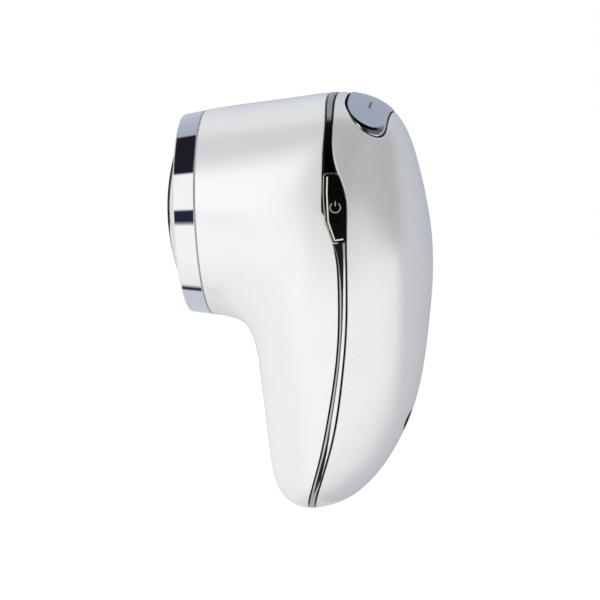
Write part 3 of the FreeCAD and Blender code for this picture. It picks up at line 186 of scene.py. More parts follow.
# %% Colours of the room and its bands
GREY_BLUE = (0.41, 0.45, 0.53)
PANEL_BLACK = (0.014, 0.014, 0.021)
GAP_NAVY = (0.018, 0.022, 0.045)
PAPER = (1.0, 1.0, 1.0)
TABLE_GREY = (0.72, 0.72, 0.74)
PANEL_WARM = (0.030, 0.028, 0.026)
PANEL_GREY = (0.13, 0.13, 0.13)
LILAC = (0.47, 0.44, 0.50)
CEILING = (0.58, 0.60, 0.65)
CEILING_GREY = (0.46, 0.46, 0.48)
FLOOR_BLUE = (0.60, 0.63, 0.70)
TABLE_WHITE = (0.90, 0.90, 0.91)
SOFT_PANEL = (1.14, 1.14, 1.14)
# Bands of the ring: degrees round the head that a mirror faces, and colours, from below to above.
RING_BANDS = [
    (-180, FLOOR_BLUE), (-49.6, FLOOR_BLUE), (-49.2, PANEL_BLACK), (-46.6, PANEL_BLACK), (-46.2, TABLE_WHITE),
    (-25, PAPER), (-5.9, PAPER), (-5.5, GAP_NAVY), (1.5, GAP_NAVY), (1.9, PAPER), (22.6, PAPER),
    (23.2, PANEL_BLACK), (49.5, PANEL_BLACK), (50.5, GREY_BLUE), (80, CEILING), (180, CEILING),
]
# Each other set of bands: degrees round the head in which a mirror looks, and colours, from below to above.
BARREL_BANDS = [
    (-180, TABLE_GREY), (-95, TABLE_GREY), (-55, PAPER), (-4, PAPER), (4, SOFT_PANEL), (40, SOFT_PANEL),
    (66, PANEL_BLACK), (88, PANEL_BLACK), (100, CEILING_GREY), (118, CEILING_GREY), (128, GREY_BLUE),
    (180, GREY_BLUE),
]
SIDE_BANDS = [
    (-180, LILAC), (-100, LILAC), (-85, TABLE_GREY), (-45, PAPER), (-26, PAPER), (10, PANEL_WARM),
    (91, PANEL_WARM), (96, GREY_BLUE), (180, GREY_BLUE),
]
FAR_BANDS = [
    (-180, LILAC), (-140, LILAC), (-95, TABLE_GREY), (-45, PAPER), (-14, PAPER), (14, PANEL_GREY),
    (140, PANEL_GREY), (160, LILAC), (180, LILAC),
]
# Later sets fade in over a range of how far to the right the direction points.
LATER_BANDS = [((-0.10, 0.0), SIDE_BANDS), ((0.45, 0.75), FAR_BANDS)]
print("sets of bands:", 2 + len(LATER_BANDS))

# %% [markdown]
# The moulding's bands follow the direction in which a mirror looks. Further to the right other sets fade
# in, because there a dark panel reaches lower and greys the upper rear moulding. The ring is narrow and
# turned, so its bands follow the way a mirror faces instead, which is half-way between where it looks and
# where the photograph's camera stands. Only mirrors that face forwards by as much as the ring does see
# them.

# %% Bands that mirrors see
HEAD_LEAN = 0.1
HEAD_TILT = math.radians(2.1)
RING_FACING = (0.130, 0.145, 0.20, 0.22)
head_forward = (-math.cos(HEAD_TILT), 0.0, -math.sin(HEAD_TILT))
head_upward = (-math.sin(HEAD_TILT), 0.0, math.cos(HEAD_TILT))
nearward = (0.0, -1.0, 0.0)

world = bpy.data.worlds.new("studio")
world.use_nodes = True
world.node_tree.nodes.clear()
room = Wire(world.node_tree)
direction = room.node("ShaderNodeTexCoord", output="Generated")
looks_x = room.node("ShaderNodeSeparateXYZ", inputs={0: direction})
looks_y, looks_z = looks_x.beside("Y"), looks_x.beside("Z")


def room_bands(band_degrees, up, near):
    """Colour ramp of the room by an angle about the axis of the head."""
    round_share = room.math("ARCTAN2", up, near) / (2 * math.pi) + 0.5
    stops = [(degrees / 360 + 0.5, colour) for degrees, colour in band_degrees]
    return room.node("ShaderNodeValToRGB", {"stops": stops}, {0: round_share})


def facing_along(axis):
    """How far the way a mirror faces reaches along an axis."""
    return room.vector("DOT_PRODUCT", {0: facing, 1: axis}, "Value")


to_right = looks_x - looks_y * HEAD_LEAN
bands = room_bands(BARREL_BANDS, looks_z, 0 - looks_y)
for fade_range, later_bands in LATER_BANDS:
    bands = to_right.fade(*fade_range).choose(bands, room_bands(later_bands, looks_z, 0 - looks_y))
half_way = room.vector("ADD", {0: direction, 1: tuple(towards_camera)})
facing = room.vector("NORMALIZE", {0: half_way})
ring_bands = room_bands(RING_BANDS, facing_along(head_upward), facing_along(nearward))
bands = facing_along(head_forward).within(*RING_FACING).choose(bands, ring_bands)
print("world nodes so far:", len(world.node_tree.nodes))

# %% [markdown]
# A white box stands to the left, with a dark slot behind the head and a dark flag above the box. Only
# mirror-like rays see all this. Diffuse light stays soft and even, and the camera itself sees plain white
# behind the object.

# %% Soft box, dark panels and the view of each ray
SOFT_BOX = (0.86, 0.86, 0.87)
SOFT_LIGHT = (0.88, 0.88, 0.88)
BEHIND_RANGE = (0.45, 0.55)
BOX_SIDE_RANGE = (0.46, 0.50)
BOX_BACK_RANGE = (0.54, 0.58)
SLOT_ACROSS = (0.18, 0.21, 0.52, 0.56)
SLOT_LEVELS = (-0.042, -0.028, 0.08, 0.12)
FLAG_RANGE = (0.48, 0.54)
FLAG_LEVELS = (0.52, 0.60, 0.72, 0.82)

to_left = 0 - to_right
behind = looks_y.fade(*BEHIND_RANGE)
soft_box = room.math("MAXIMUM", to_left.fade(*BOX_SIDE_RANGE), behind * to_left.fade(*BOX_BACK_RANGE))
dark_slot = behind * to_left.within(*SLOT_ACROSS) * looks_z.within(*SLOT_LEVELS)
dark_flag = to_left.fade(*FLAG_RANGE) * looks_z.within(*FLAG_LEVELS)
bands = soft_box.choose(bands, SOFT_BOX)
bands = room.math("MAXIMUM", dark_slot, dark_flag).choose(bands, PANEL_BLACK)

is_camera = room.node("ShaderNodeLightPath", output="Is Camera Ray")
is_diffuse = is_camera.beside("Is Diffuse Ray")
mirror_view, soft_view, plain_view = (
    room.node("ShaderNodeBackground", inputs={"Color": colour}) for colour in (bands, SOFT_LIGHT, PAPER))
unseen = room.node("ShaderNodeMixShader", inputs={0: is_diffuse, 1: mirror_view, 2: soft_view})
seen = room.node("ShaderNodeMixShader", inputs={0: is_camera, 1: unseen, 2: plain_view})
room.node("ShaderNodeOutputWorld", inputs={"Surface": seen})
scene.world = world
print("world nodes:", len(world.node_tree.nodes))

# %% [markdown]
# ## Lamps
# Three large square lamps give the soft shading of a studio. They could be seen as squares in the plating,
# so mirrors don't show them: what mirrors show is painted in the room above.

# %% Lamps
# Each row: name, place and size in mm, power in watts.
LAMPS = [
    ("key_lamp", (-420, -700, 200), 600, 1.1),
    ("fill_lamp", (100, -700, -160), 700, 0.4),
    ("top_lamp", (-200, 100, 800), 700, 0.4),
]


def add_lamp(name, place, size, power):
    """Square soft box that points at the object and that mirrors don't show."""
    data = bpy.data.lights.new(name, "AREA")
    data.size = size * MM
    data.energy = power
    lamp = bpy.data.objects.new(name, data)
    lamp.location = Vector(place) * MM
    lamp.rotation_euler = (CAMERA_TARGET - lamp.location).to_track_quat("-Z", "Y").to_euler()
    lamp.visible_glossy = False
    scene.collection.objects.link(lamp)


for lamp_row in LAMPS:
    add_lamp(*lamp_row)
print("lamps:", len(LAMPS))

# %% [markdown]
# ## Floor
# A pale floor lies well below the object. To the camera it glows a little under white and takes the rest
# from the lamps, so it stays pale and still keeps a shadow. Other rays see a dull floor that adds no light
# of its own.

# %% Pale floor
FLOOR_LEVEL = -80 * MM
FLOOR_REACH = 6000 * MM
FLOOR_GLOW = (0.86, 0.86, 0.86)
FLOOR_SHADED = (0.22, 0.22, 0.22)
FLOOR_DULL = (0.7, 0.7, 0.7)

floor_material = bpy.data.materials.new("pale_floor")
floor_material.use_nodes = True
floor_material.node_tree.nodes.clear()
floor_wire = Wire(floor_material.node_tree)
floor_glow = floor_wire.node("ShaderNodeEmission", inputs={"Color": FLOOR_GLOW})
floor_shaded = floor_wire.node("ShaderNodeBsdfDiffuse", inputs={"Color": FLOOR_SHADED})
floor_pale = floor_wire.node("ShaderNodeAddShader", inputs={0: floor_glow, 1: floor_shaded})
floor_dull = floor_wire.node("ShaderNodeBsdfDiffuse", inputs={"Color": FLOOR_DULL})
floor_seen = floor_wire.node("ShaderNodeLightPath", output="Is Camera Ray")
floor_mix = floor_wire.node("ShaderNodeMixShader", inputs={0: floor_seen, 1: floor_dull, 2: floor_pale})
floor_wire.node("ShaderNodeOutputMaterial", inputs={"Surface": floor_mix})

floor_mesh = bpy.data.meshes.new("floor")
floor_sides = ((-1, -1), (1, -1), (1, 1), (-1, 1))
floor_corners = [(x * FLOOR_REACH, y * FLOOR_REACH, FLOOR_LEVEL) for x, y in floor_sides]
floor_mesh.from_pydata(floor_corners, [], [(0, 1, 2, 3)])
floor_mesh.materials.append(floor_material)
floor = bpy.data.objects.new("floor", floor_mesh)
floor.visible_glossy = False
floor.visible_diffuse = False
scene.collection.objects.link(floor)
print("floor at", round(FLOOR_LEVEL / MM), "mm")

# %% [markdown]
# ## Grained finishes
# Most finishes here are one recipe with different numbers: a colour that drifts between two close shades
# over a fine grain, a roughness that drifts with it, and a very shallow bump. So they are rows of one
# table. All patterns read Object coordinates, so they stay put when a body moves.

# %% Recipe and table of grained finishes
BUMP_STRENGTH = 0.4
EVEN = (1.0, 1.0, 1.0)
BRUSHED = (1.0, 0.06, 1.0)
finishes = {}


def new_finish(name, constants):
    """Material with a Principled shader, its constant sockets set, and a wire to build on."""
    material = bpy.data.materials.new(name)
    material.use_nodes = True
    shader = material.node_tree.nodes["Principled BSDF"]
    for socket, value in constants.items():
        shader.inputs[socket].default_value = value
    finishes[name] = material
    return shader.inputs, Wire(material.node_tree)


def grain_of(wire, size, detail=3.0, stretch=EVEN):
    """Noise whose features are about as large as the size, in millimetres."""
    place = wire.node("ShaderNodeTexCoord", output="Object")
    placed = wire.node("ShaderNodeMapping", inputs={"Vector": place, "Scale": stretch})
    inputs = {"Vector": placed, "Scale": 1.0 / (size * MM), "Detail": detail}
    return wire.node("ShaderNodeTexNoise", inputs=inputs)


def bumped(wire, strength, depth, height):
    """Normal that a height pattern gives, with its depth in millimetres."""
    inputs = {"Strength": strength, "Distance": depth * MM, "Height": height}
    return wire.node("ShaderNodeBump", inputs=inputs)


def grained(name, dark, light, rough, grain, bump=0.0, constants=None, stretch=EVEN):
    """Finish whose colour and roughness drift over a grain."""
    sockets, wire = new_finish(name, constants or {})
    fine = grain_of(wire, grain, stretch=stretch)
    wire.feed(sockets["Base Color"], fine.choose(dark, light))
    wire.feed(sockets["Roughness"], fine.between(*rough))
    if bump:
        wire.feed(sockets["Normal"], bumped(wire, BUMP_STRENGTH, bump, fine))


METAL = {"Metallic": 1.0}
DULL = {"Specular IOR Level": 0.1}
# Each row: name, darker and lighter colour, roughness range, grain and bump depth in mm, constants, stretch.
GRAINED_FINISHES = [
    ("seal_grey", (0.32, 0.33, 0.35), (0.40, 0.41, 0.43), (0.5, 0.65), 0.4, 0.02),
    ("reflector_white", (0.82, 0.82, 0.81), (0.90, 0.90, 0.89), (0.16, 0.26), 2),
    ("emitter_yellow", (0.80, 0.56, 0.08), (0.92, 0.72, 0.20), (0.4, 0.6), 0.3, 0.03),
    ("board_green", (0.008, 0.09, 0.035), (0.02, 0.15, 0.06), (0.3, 0.5), 1.2),
    ("pad_grey", (0.24, 0.28, 0.32), (0.33, 0.37, 0.41), (0.75, 0.9), 0.5, 0.04),
    ("sink_aluminium", (0.60, 0.61, 0.63), (0.76, 0.77, 0.79), (0.28, 0.42), 0.5, 0.01, METAL, BRUSHED),
    ("screw_steel", (0.50, 0.50, 0.51), (0.62, 0.62, 0.64), (0.22, 0.34), 0.3, 0.0, METAL),
    ("frame_grey", (0.16, 0.165, 0.175), (0.20, 0.205, 0.215), (0.45, 0.6), 0.35, 0.03),
    ("cell_can", (0.02, 0.10, 0.26), (0.03, 0.13, 0.32), (0.2, 0.32), 3),
    ("chip_black", (0.012, 0.012, 0.013), (0.024, 0.024, 0.026), (0.38, 0.55), 0.3, 0.02),
    ("connector_cream", (0.70, 0.64, 0.50), (0.78, 0.72, 0.58), (0.35, 0.5), 0.8),
    ("contact_brass", (0.62, 0.44, 0.16), (0.74, 0.55, 0.22), (0.18, 0.3), 0.4, 0.0, METAL),
    # Black of the painted shade in the rocker's well.
    ("gasket_black", (0.010, 0.010, 0.011), (0.016, 0.016, 0.018), (0.6, 0.75), 0.4, 0.0, DULL),
    ("mark_grey", (0.10, 0.105, 0.115), (0.13, 0.135, 0.145), (0.3, 0.4), 0.3),
    # Cream of the painted highlight on the button's cap.
    ("trim_cream", (0.72, 0.68, 0.56), (0.80, 0.76, 0.64), (0.2, 0.3), 0.4),
    ("symbol_grey", (0.29, 0.28, 0.265), (0.34, 0.33, 0.31), (0.3, 0.4), 0.3),
]
for finish_row in GRAINED_FINISHES:
    grained(*finish_row)
print("grained finishes:", len(finishes))

# %% [markdown]
# ## Pearl
# Pearl lacquer is white pigment with mica flakes under a clear coat. The flakes act like a weak rough
# mirror, which is why the moulding goes grey where it faces a dark panel. A white plastic with more gloss
# would only get sharper highlights. A share of metallic reflection gives the grey, a fine bump breaks it up
# into flakes, and a smooth coat on top keeps the gloss.

# %% Pearl lacquer
PEARL_COAT = {"Coat Weight": 0.6, "Coat Roughness": 0.06, "Coat IOR": 1.5}
PEARL_ROUGH = (0.22, 0.30)
FLAKE_SIZE = 0.12
FLAKE_DETAIL = 1.0
FLAKE_DEPTH = 0.01
FLAKE_STRENGTH = 0.12
FLAKE_SPREAD = 0.04
CLOUD_SIZE = 9


def pearl_finish(name, dark, light, flake_share):
    """White pigment with fine flakes under a smooth coat."""
    sockets, wire = new_finish(name, PEARL_COAT)
    flakes = grain_of(wire, FLAKE_SIZE, FLAKE_DETAIL)
    wire.feed(sockets["Base Color"], grain_of(wire, CLOUD_SIZE).choose(dark, light))
    wire.feed(sockets["Roughness"], flakes.between(*PEARL_ROUGH))
    wire.feed(sockets["Metallic"], flakes.between(flake_share - FLAKE_SPREAD, flake_share + FLAKE_SPREAD))
    wire.feed(sockets["Normal"], bumped(wire, FLAKE_STRENGTH, FLAKE_DEPTH, flakes))


pearl_finish("pearl_white", (0.925, 0.924, 0.922), (0.94, 0.939, 0.94), 0.29)
# A shaded copy of the same pearl white, for the rear moulding: its colour is painted a little darker and its
# mirror share raised, painted shade.
pearl_finish("pearl_white_shaded", (0.895, 0.893, 0.898), (0.91, 0.908, 0.916), 0.47)
print("pearl finishes:", [name for name in finishes if name.startswith("pearl")])

# %% [markdown]
# ## Plating
# Plating is metal with faint polishing marks. The band, the rocker and the button's frame also have dark
# stretches beside bright metal: painted reflections of the room's dark panels, and on the band painted shade
# along its seams. Separate pieces would need a seam for each stretch. So a mesh may carry a painted tone at
# each point, and the finish goes from painted dark at 0 to bright at 1.

# %% Bright plating, and plating with painted reflections and shade
PAINTED_TONE_NAME = "tone"
# Painted dark: painted reflection of dark panels, and painted shade along seams.
PAINTED_DARK = (0.022, 0.021, 0.028)
POLISH_SIZE = 1.5
POLISH_DETAIL = 6.0
POLISH_STRETCH = (1.0, 1.0, 0.15)
# Each row: name, darker and lighter colour, least roughness, whether it has a painted tone of reflection and
# shade.
PLATED_FINISHES = [
    ("chrome", (0.86, 0.87, 0.89), (0.90, 0.91, 0.93), 0.025, False),
    ("smoke_chrome", (0.84, 0.84, 0.88), (0.90, 0.90, 0.94), 0.03, True),
    ("blue_chrome", (0.78, 0.81, 0.84), (0.82, 0.85, 0.88), 0.03, True),
    ("warm_chrome", (0.90, 0.85, 0.73), (0.94, 0.89, 0.78), 0.03, True),
]


def plated_finish(name, dark, light, rough, has_painted_tone):
    """Polished plating: metal whose colour and roughness show faint polishing marks."""
    sockets, wire = new_finish(name, METAL)
    marks = grain_of(wire, POLISH_SIZE, POLISH_DETAIL, POLISH_STRETCH)
    colour = marks.choose(dark, light)
    # A painted tone mixes in the painted dark: painted reflection and painted shade on the plating.
    if has_painted_tone:
        tone = wire.node("ShaderNodeAttribute", {"attribute_name": PAINTED_TONE_NAME}, output="Fac")
        colour = tone.choose(PAINTED_DARK, colour)
    wire.feed(sockets["Base Color"], colour)
    wire.feed(sockets["Roughness"], marks.between(rough, 2 * rough))


for plated_row in PLATED_FINISHES:
    plated_finish(*plated_row)
print("plated finishes:", len(PLATED_FINISHES))

# %% [markdown]
# ## Black gloss and lens
# The button is piano black: so dark that only its gloss shows. The lens is a clear dome. Glass that bends
# light is slow and noisy to render, so the dome is a glossy skin that is nearly open from in front and
# turns into a pale mirror at a glancing angle, which is how its rim looks from the side.

# %% Black gloss and lens
BLACK_SHADES = ((0.0022, 0.0020, 0.0020), (0.0045, 0.0042, 0.0042))
BLACK_ROUGH = (0.06, 0.12)
BLACK_SHINE = 0.06
SPECK_SIZE = 0.5
HAZE_SHADES = ((0.84, 0.87, 0.91), (0.90, 0.92, 0.95))
HAZE_ROUGH = (0.02, 0.05)
HAZE_SIZE = 6
LENS_IOR = 1.49
LENS_ALPHA = (0.16, 1.0)
GLANCING_BLEND = 0.5
MIRROR_RANGE = (0.5, 0.85)

black, black_wire = new_finish("black_gloss", {"Specular IOR Level": BLACK_SHINE})
specks = grain_of(black_wire, SPECK_SIZE)
black_wire.feed(black["Base Color"], specks.choose(*BLACK_SHADES))
black_wire.feed(black["Roughness"], specks.between(*BLACK_ROUGH))

clear, clear_wire = new_finish("clear_lens", {"IOR": LENS_IOR})
haze = grain_of(clear_wire, HAZE_SIZE)
glancing = clear_wire.node("ShaderNodeLayerWeight", inputs={"Blend": GLANCING_BLEND}, output="Facing")
clear_wire.feed(clear["Base Color"], haze.choose(*HAZE_SHADES))
clear_wire.feed(clear["Roughness"], haze.between(*HAZE_ROUGH))
clear_wire.feed(clear["Alpha"], glancing.between(*LENS_ALPHA))
clear_wire.feed(clear["Metallic"], glancing.fade(*MIRROR_RANGE))

for node_name, cad_object in frame["nodes"].items():
    cad_object.data.materials.clear()
    cad_object.data.materials.append(finishes[slot_of_node[node_name]])
print("finishes:", len(finishes))

# %% [markdown]
# ## The body's form
# The moulding is one smooth skin over fifteen sections, from the round head seam to the tip of the grip.
# Modelling it by pushing vertices would never give clean reflections. The sections are written as shares of
# a few sizes, the same that the CAD uses, so the skin can be rebuilt here as a formula.

# %% Sizes and section shares
HEAD_REACH = 38.8 * MM
HEAD_LIFT = 50.4 * MM
HEAD_RADIUS = 30.6 * MM
BACK_REACH = 27.5 * MM
TIP_DROP = 37.95 * MM
BODY_WIDTH = 66 * MM
# Each row: inner edge x and z, outer edge x and z, half width, fullness.
SECTION_SHARES = [
    (-0.842, -0.0122, -0.842, 1.0198, 0.474, 0.000),
    (-0.7416, -0.039, -0.603, 1.0401, 0.485, 0.004),
    (-0.677, -0.0884, -0.2705, 1.0684, 0.495, 0.008),
    (-0.6455, -0.141, 0.1092, 1.0846, 0.500, 0.014),
    (-0.6302, -0.1818, 0.5448, 1.0117, 0.500, 0.020),
    (-0.6183, -0.2237, 0.8508, 0.7301, 0.485, 0.024),
    (-0.6073, -0.286, 0.9984, 0.3633, 0.447, 0.026),
    (-0.5877, -0.4051, 0.9708, -0.0208, 0.386, 0.026),
    (-0.5647, -0.5404, 0.8352, -0.4212, 0.326, 0.022),
    (-0.5409, -0.6907, 0.6168, -0.6703, 0.265, 0.016),
    (-0.5027, -0.8367, 0.3648, -0.841, 0.200, 0.010),
    (-0.4253, -0.9376, 0.0864, -0.9484, 0.126, 0.000),
    (-0.3326, -0.9827, -0.0774, -0.9838, 0.065, 0.000),
    (-0.2356, -0.9988, -0.1973, -0.9988, 0.010, 0.000),
]
TIP_SHARES = (-0.216, -1)

head_underside = HEAD_LIFT - HEAD_RADIUS
head_middle = np.array([-HEAD_REACH, HEAD_LIFT])
head_up = np.array(head_upward)[[0, 2]]


def side_point(x_share, z_share):
    """Point of the middle plane, as x and z, from shares of the body's sizes."""
    reach = HEAD_REACH if x_share < 0 else BACK_REACH
    height = 2 * HEAD_RADIUS if z_share > 0 else head_underside + TIP_DROP
    return np.array([x_share * reach, head_underside + z_share * height])


sections = [(head_middle - head_up * HEAD_RADIUS, head_middle + head_up * HEAD_RADIUS, HEAD_RADIUS, 0.0)]
for *edge_shares, width_share, fullness in SECTION_SHARES:
    inner_point, outer_point = side_point(*edge_shares[:2]), side_point(*edge_shares[2:])
    sections.append((inner_point, outer_point, width_share * BODY_WIDTH, fullness))
print("sections:", len(sections))

# %% [markdown]
# A spline through the sections makes them one skin. Blender's own curves don't pass through such points
# with even curvature, and a reflection shows every break in it. A cubic spline has none. It is solved once
# here, and every piece that follows the skin can then ask it for points and normals.


# %% Spline
def smooth_line(places, values):
    """Cubic spline through rows of values at rising places, as a function of place."""
    gaps = np.diff(places)
    rises = np.diff(values, axis=0) / gaps[:, None]
    count = len(places)
    matrix = np.zeros((count, count))
    right = np.zeros_like(values)
    for end, four in ((0, slice(0, 4)), (count - 1, slice(count - 4, count))):
        matrix[end, end] = 1
        right[end] = np.linalg.solve(np.vander(places[four] - places[end], 4), values[four])[2]
    for row in range(1, count - 1):
        before, after = gaps[row - 1], gaps[row]
        matrix[row, row - 1:row + 2] = after, 2 * (before + after), before
        right[row] = 3 * (after * rises[row - 1] + before * rises[row])
    slopes = np.linalg.solve(matrix, right)

    def at(place):
        place = np.asarray(place, float)
        span = np.clip(np.searchsorted(places, place, side="right") - 1, 0, count - 2)
        gap = gaps[span][..., None]
        part = (place - places[span])[..., None] / gap
        rest = 1 - part
        return (rest ** 2 * ((1 + 2 * part) * values[span] + part * gap * slopes[span])
                + part ** 2 * ((3 - 2 * part) * values[span + 1] - rest * gap * slopes[span + 1]))

    return at


print("spline ready")

# %% [markdown]
# A section is nearly an ellipse, a little fuller at its shoulders. Its middle, its half sizes and its
# fullness run along the spline from the head's seam to the tip, and that is the whole body: a function of a
# turn about the body and of the share of the way along it. The skin lies a hair inside the CAD's, so that
# the dressed model stays in its box.


# %% Body form
def section_point(row, turn):
    """Point of a section at an angle: 0 at its inner edge, pi at its outer edge, near side first."""
    lean = np.cos(turn) - np.cos(3 * turn)
    bulge = np.sin(turn) + np.sin(3 * turn)
    x = row[..., 0] - row[..., 2] * np.cos(turn) - row[..., 4] * lean
    z = row[..., 1] - row[..., 3] * np.cos(turn) - row[..., 5] * lean
    y = -row[..., 6] * np.sin(turn) - row[..., 7] * bulge
    return np.stack([x, y, z], -1)


ROUND_POINTS = 20


def body_form(inset):
    """Skin a little inside the body, as a function of turn and of the share of the way from head to tip."""
    rows = []
    for inner, outer, half_width, fullness in sections:
        half = (outer - inner) / 2
        half = half * (1 - inset / np.linalg.norm(half))
        wide = half_width - inset
        rows.append(np.concatenate([(inner + outer) / 2, half, half * fullness, [wide, wide * fullness]]))
    rows.append(np.concatenate([side_point(*TIP_SHARES), np.zeros(6)]))
    rows = np.array(rows)
    turns = np.linspace(0, 2 * math.pi, ROUND_POINTS, endpoint=False)
    rings = section_point(rows[:, None, :], turns[None, :])
    steps = np.linalg.norm(np.diff(rings, axis=0), axis=-1).sum(1)
    places = np.concatenate([[0], np.cumsum(steps)]) / steps.sum()
    line = smooth_line(places, rows)
    return lambda turn, along: section_point(line(along), np.asarray(turn, float))


SLOPE_STEP = 1e-4
SKIN_INSET = 0.01 * MM
skin = body_form(SKIN_INSET)


def outward_normal(turn, along):
    """Unit normal of the skin, pointing out of the body."""
    across = skin(turn + SLOPE_STEP, along) - skin(turn - SLOPE_STEP, along)
    down = skin(turn, along + SLOPE_STEP) - skin(turn, along - SLOPE_STEP)
    normal = np.cross(down, across)
    return normal / np.linalg.norm(normal, axis=-1, keepdims=True)


def in_mm(values):
    """Rounded millimetres for printing."""
    return np.round(np.asarray(values) / MM, 2)


print("skin from", in_mm(skin(math.pi, 0.0)), "to", in_mm(skin(math.pi, 1.0)))

# %% [markdown]
# ## Seams on the skin
# Seen from the side, each edge of the dark band is a smooth line from the top to the tip. The two mouldings
# end on these lines. A Boolean with a curved cutter would leave ragged edges, so the crossing of the line
# with each section is found by halving, and the crossings become a loop of turn and length shares on the
# skin. The loop's points crowd together where it turns fast, round the tip, so that the mesh stays smooth
# there.

# %% Loops of the band's edges
FRONT_EDGE_SHARES = [
    (-0.0851, 1.1961), (-0.0697, 1.0786), (-0.0357, 0.961), (-0.0272, 0.803), (-0.0221, 0.6085),
    (-0.0187, 0.4991), (0.0168, 0.412), (0.0636, 0.3532), (0.108, 0.2944), (0.1284, 0.2256),
    (0.1344, 0.1182), (0.0984, -0.1872), (-0.0102, -0.4985), (-0.1344, -0.8109), (-0.2271, -0.9763),
    (-0.2943, -1.0965),
]
REAR_EDGE_SHARES = [
    (-0.0119, 1.1961), (0.0024, 1.0786), (0.036, 0.9712), (0.054, 0.8435), (0.12, 0.7058),
    (0.1884, 0.6328), (0.234, 0.5396), (0.2376, 0.4505), (0.2352, 0.2641), (0.2196, -0.0315),
    (0.1464, -0.3429), (0.0444, -0.6027), (-0.0672, -0.8109), (-0.1659, -0.9763), (-0.2398, -1.0965),
]
LOOP_SAMPLES = 1600
HALVINGS = 50
TURN_WEIGHT = 12 * MM
COLUMNS = 181


def behind_edge(shares):
    """Function of a point: how far behind the edge line it lies, seen from the side."""
    corners = np.array([side_point(*share) for share in shares])
    steps = np.linalg.norm(np.diff(corners, axis=0), axis=1)
    places = np.concatenate([[0], np.cumsum(steps)])
    drawn = smooth_line(places, corners)(np.linspace(0, places[-1], LOOP_SAMPLES))[::-1]
    return lambda points: points[..., 0] - np.interp(points[..., 2], drawn[:, 1], drawn[:, 0])


def halve(miss, low, high):
    """Root of a rising function between two bounds."""
    for _ in range(HALVINGS):
        middle = (low + high) / 2
        below = miss(middle) < 0
        low = np.where(below, middle, low)
        high = np.where(below, high, middle)
    return (low + high) / 2


def crossing(lies_behind, turn, pick):
    """Length share where one lengthwise line of the skin crosses the edge."""
    scan = np.linspace(0, 1, LOOP_SAMPLES)
    miss = lies_behind(skin(turn, scan))
    step = np.flatnonzero(np.diff(np.sign(miss)))[pick]
    sign = np.sign(miss[step + 1])
    return halve(lambda along: sign * lies_behind(skin(turn, along)), scan[step], scan[step + 1])


def even_steps(points, places, count):
    """Resample rows of places so that the points are evenly spaced."""
    lengths = np.concatenate([[0], np.cumsum(np.linalg.norm(np.diff(points, axis=0), axis=1))])
    wanted = np.linspace(0, lengths[-1], count)
    return np.stack([np.interp(wanted, lengths, column) for column in places.T], 1)


def edge_half_loop(shares, end_turn):
    """Near half of a band edge, top to tip, as rows of turn and length share."""
    lies_behind = behind_edge(shares)
    top = crossing(lies_behind, math.pi, 0)
    tip = crossing(lies_behind, end_turn, -1)
    along = top + (tip - top) * (1 - np.cos(np.linspace(0, math.pi, LOOP_SAMPLES))) / 2
    least, most = np.zeros(LOOP_SAMPLES), np.full(LOOP_SAMPLES, math.pi)
    turn = halve(lambda turns: lies_behind(skin(turns, along)), least, most)
    turn[0], turn[-1] = math.pi, end_turn
    weighted = np.column_stack([skin(turn, along), TURN_WEIGHT * turn])
    return even_steps(weighted, np.stack([turn, along], 1), COLUMNS)


front_half = edge_half_loop(FRONT_EDGE_SHARES, 0.0)
rear_half = edge_half_loop(REAR_EDGE_SHARES, math.pi)
print("front edge from", in_mm(skin(*front_half[0])), "to", in_mm(skin(*front_half[-1])))
print("rear edge from", in_mm(skin(*rear_half[0])), "to", in_mm(skin(*rear_half[-1])))

# %% [markdown]
# ## Meshes from grids
# Every skin piece below is a grid of points: rows from one edge to the other, columns round the body. The
# grid closes on itself, so the mesh is watertight. The helpers here turn grids into faces, check by the
# signed volume that faces point outwards, and hand the piece to the frame.


# %% Grid and piece helpers
def grid_faces(rows, columns, close_rows=False):
    """Quads of a grid whose columns close into a ring."""
    faces = []
    for row in range(rows if close_rows else rows - 1):
        low = row * columns
        high = (row + 1) % rows * columns
        for column in range(columns):
            beside = (column + 1) % columns
            faces.append((low + column, low + beside, high + beside, high + column))
    return faces


def mesh_from(name, points, faces):
    """New mesh from an array of points and a list of faces."""
    mesh = bpy.data.meshes.new(name)
    mesh.from_pydata(np.asarray(points, float).reshape(-1, 3).tolist(), [], faces)
    mesh.validate()
    return mesh


def ring_mesh(name, rings):
    """Closed mesh of rings that follow one another round to the first."""
    return mesh_from(name, rings, grid_faces(len(rings), len(rings[0]), close_rows=True))


def capped_mesh(name, rings, top):
    """Closed mesh of rings, with a fan to a top point over the last and to the middle of the first."""
    count = len(rings[0])
    points = np.concatenate([*rings, top[None], rings[0].mean(0)[None]])
    last = (len(rings) - 1) * count
    faces = grid_faces(len(rings), count)
    for step in range(count):
        beside = (step + 1) % count
        faces.append((last + step, last + beside, len(points) - 2))
        faces.append((beside, step, len(points) - 1))
    return mesh_from(name, points, faces)


def set_painted_tones(mesh, tones):
    """Write the painted tone of the plating at each point: painted reflection and painted shade."""
    mesh.attributes.new(PAINTED_TONE_NAME, "FLOAT", "POINT").data.foreach_set("value", np.ravel(tones))


def signed_volume(mesh):
    """Volume of a closed mesh, below zero where its faces point inwards."""
    mesh.calc_loop_triangles()
    points = np.empty(len(mesh.vertices) * 3)
    mesh.vertices.foreach_get("co", points)
    corners = np.empty(len(mesh.loop_triangles) * 3, np.int32)
    mesh.loop_triangles.foreach_get("vertices", corners)
    a, b, c = points.reshape(-1, 3)[corners.reshape(-1, 3)].transpose(1, 0, 2)
    return float(np.einsum("ij,ij->i", a, np.cross(b, c)).sum() / 6)


SHARP_ANGLE = math.radians(38)
CUBIC_CM = 1e-6


def faced_outwards(mesh):
    """The mesh, turned inside out where its faces point inwards."""
    if signed_volume(mesh) < 0:
        mesh.flip_normals()
    return mesh


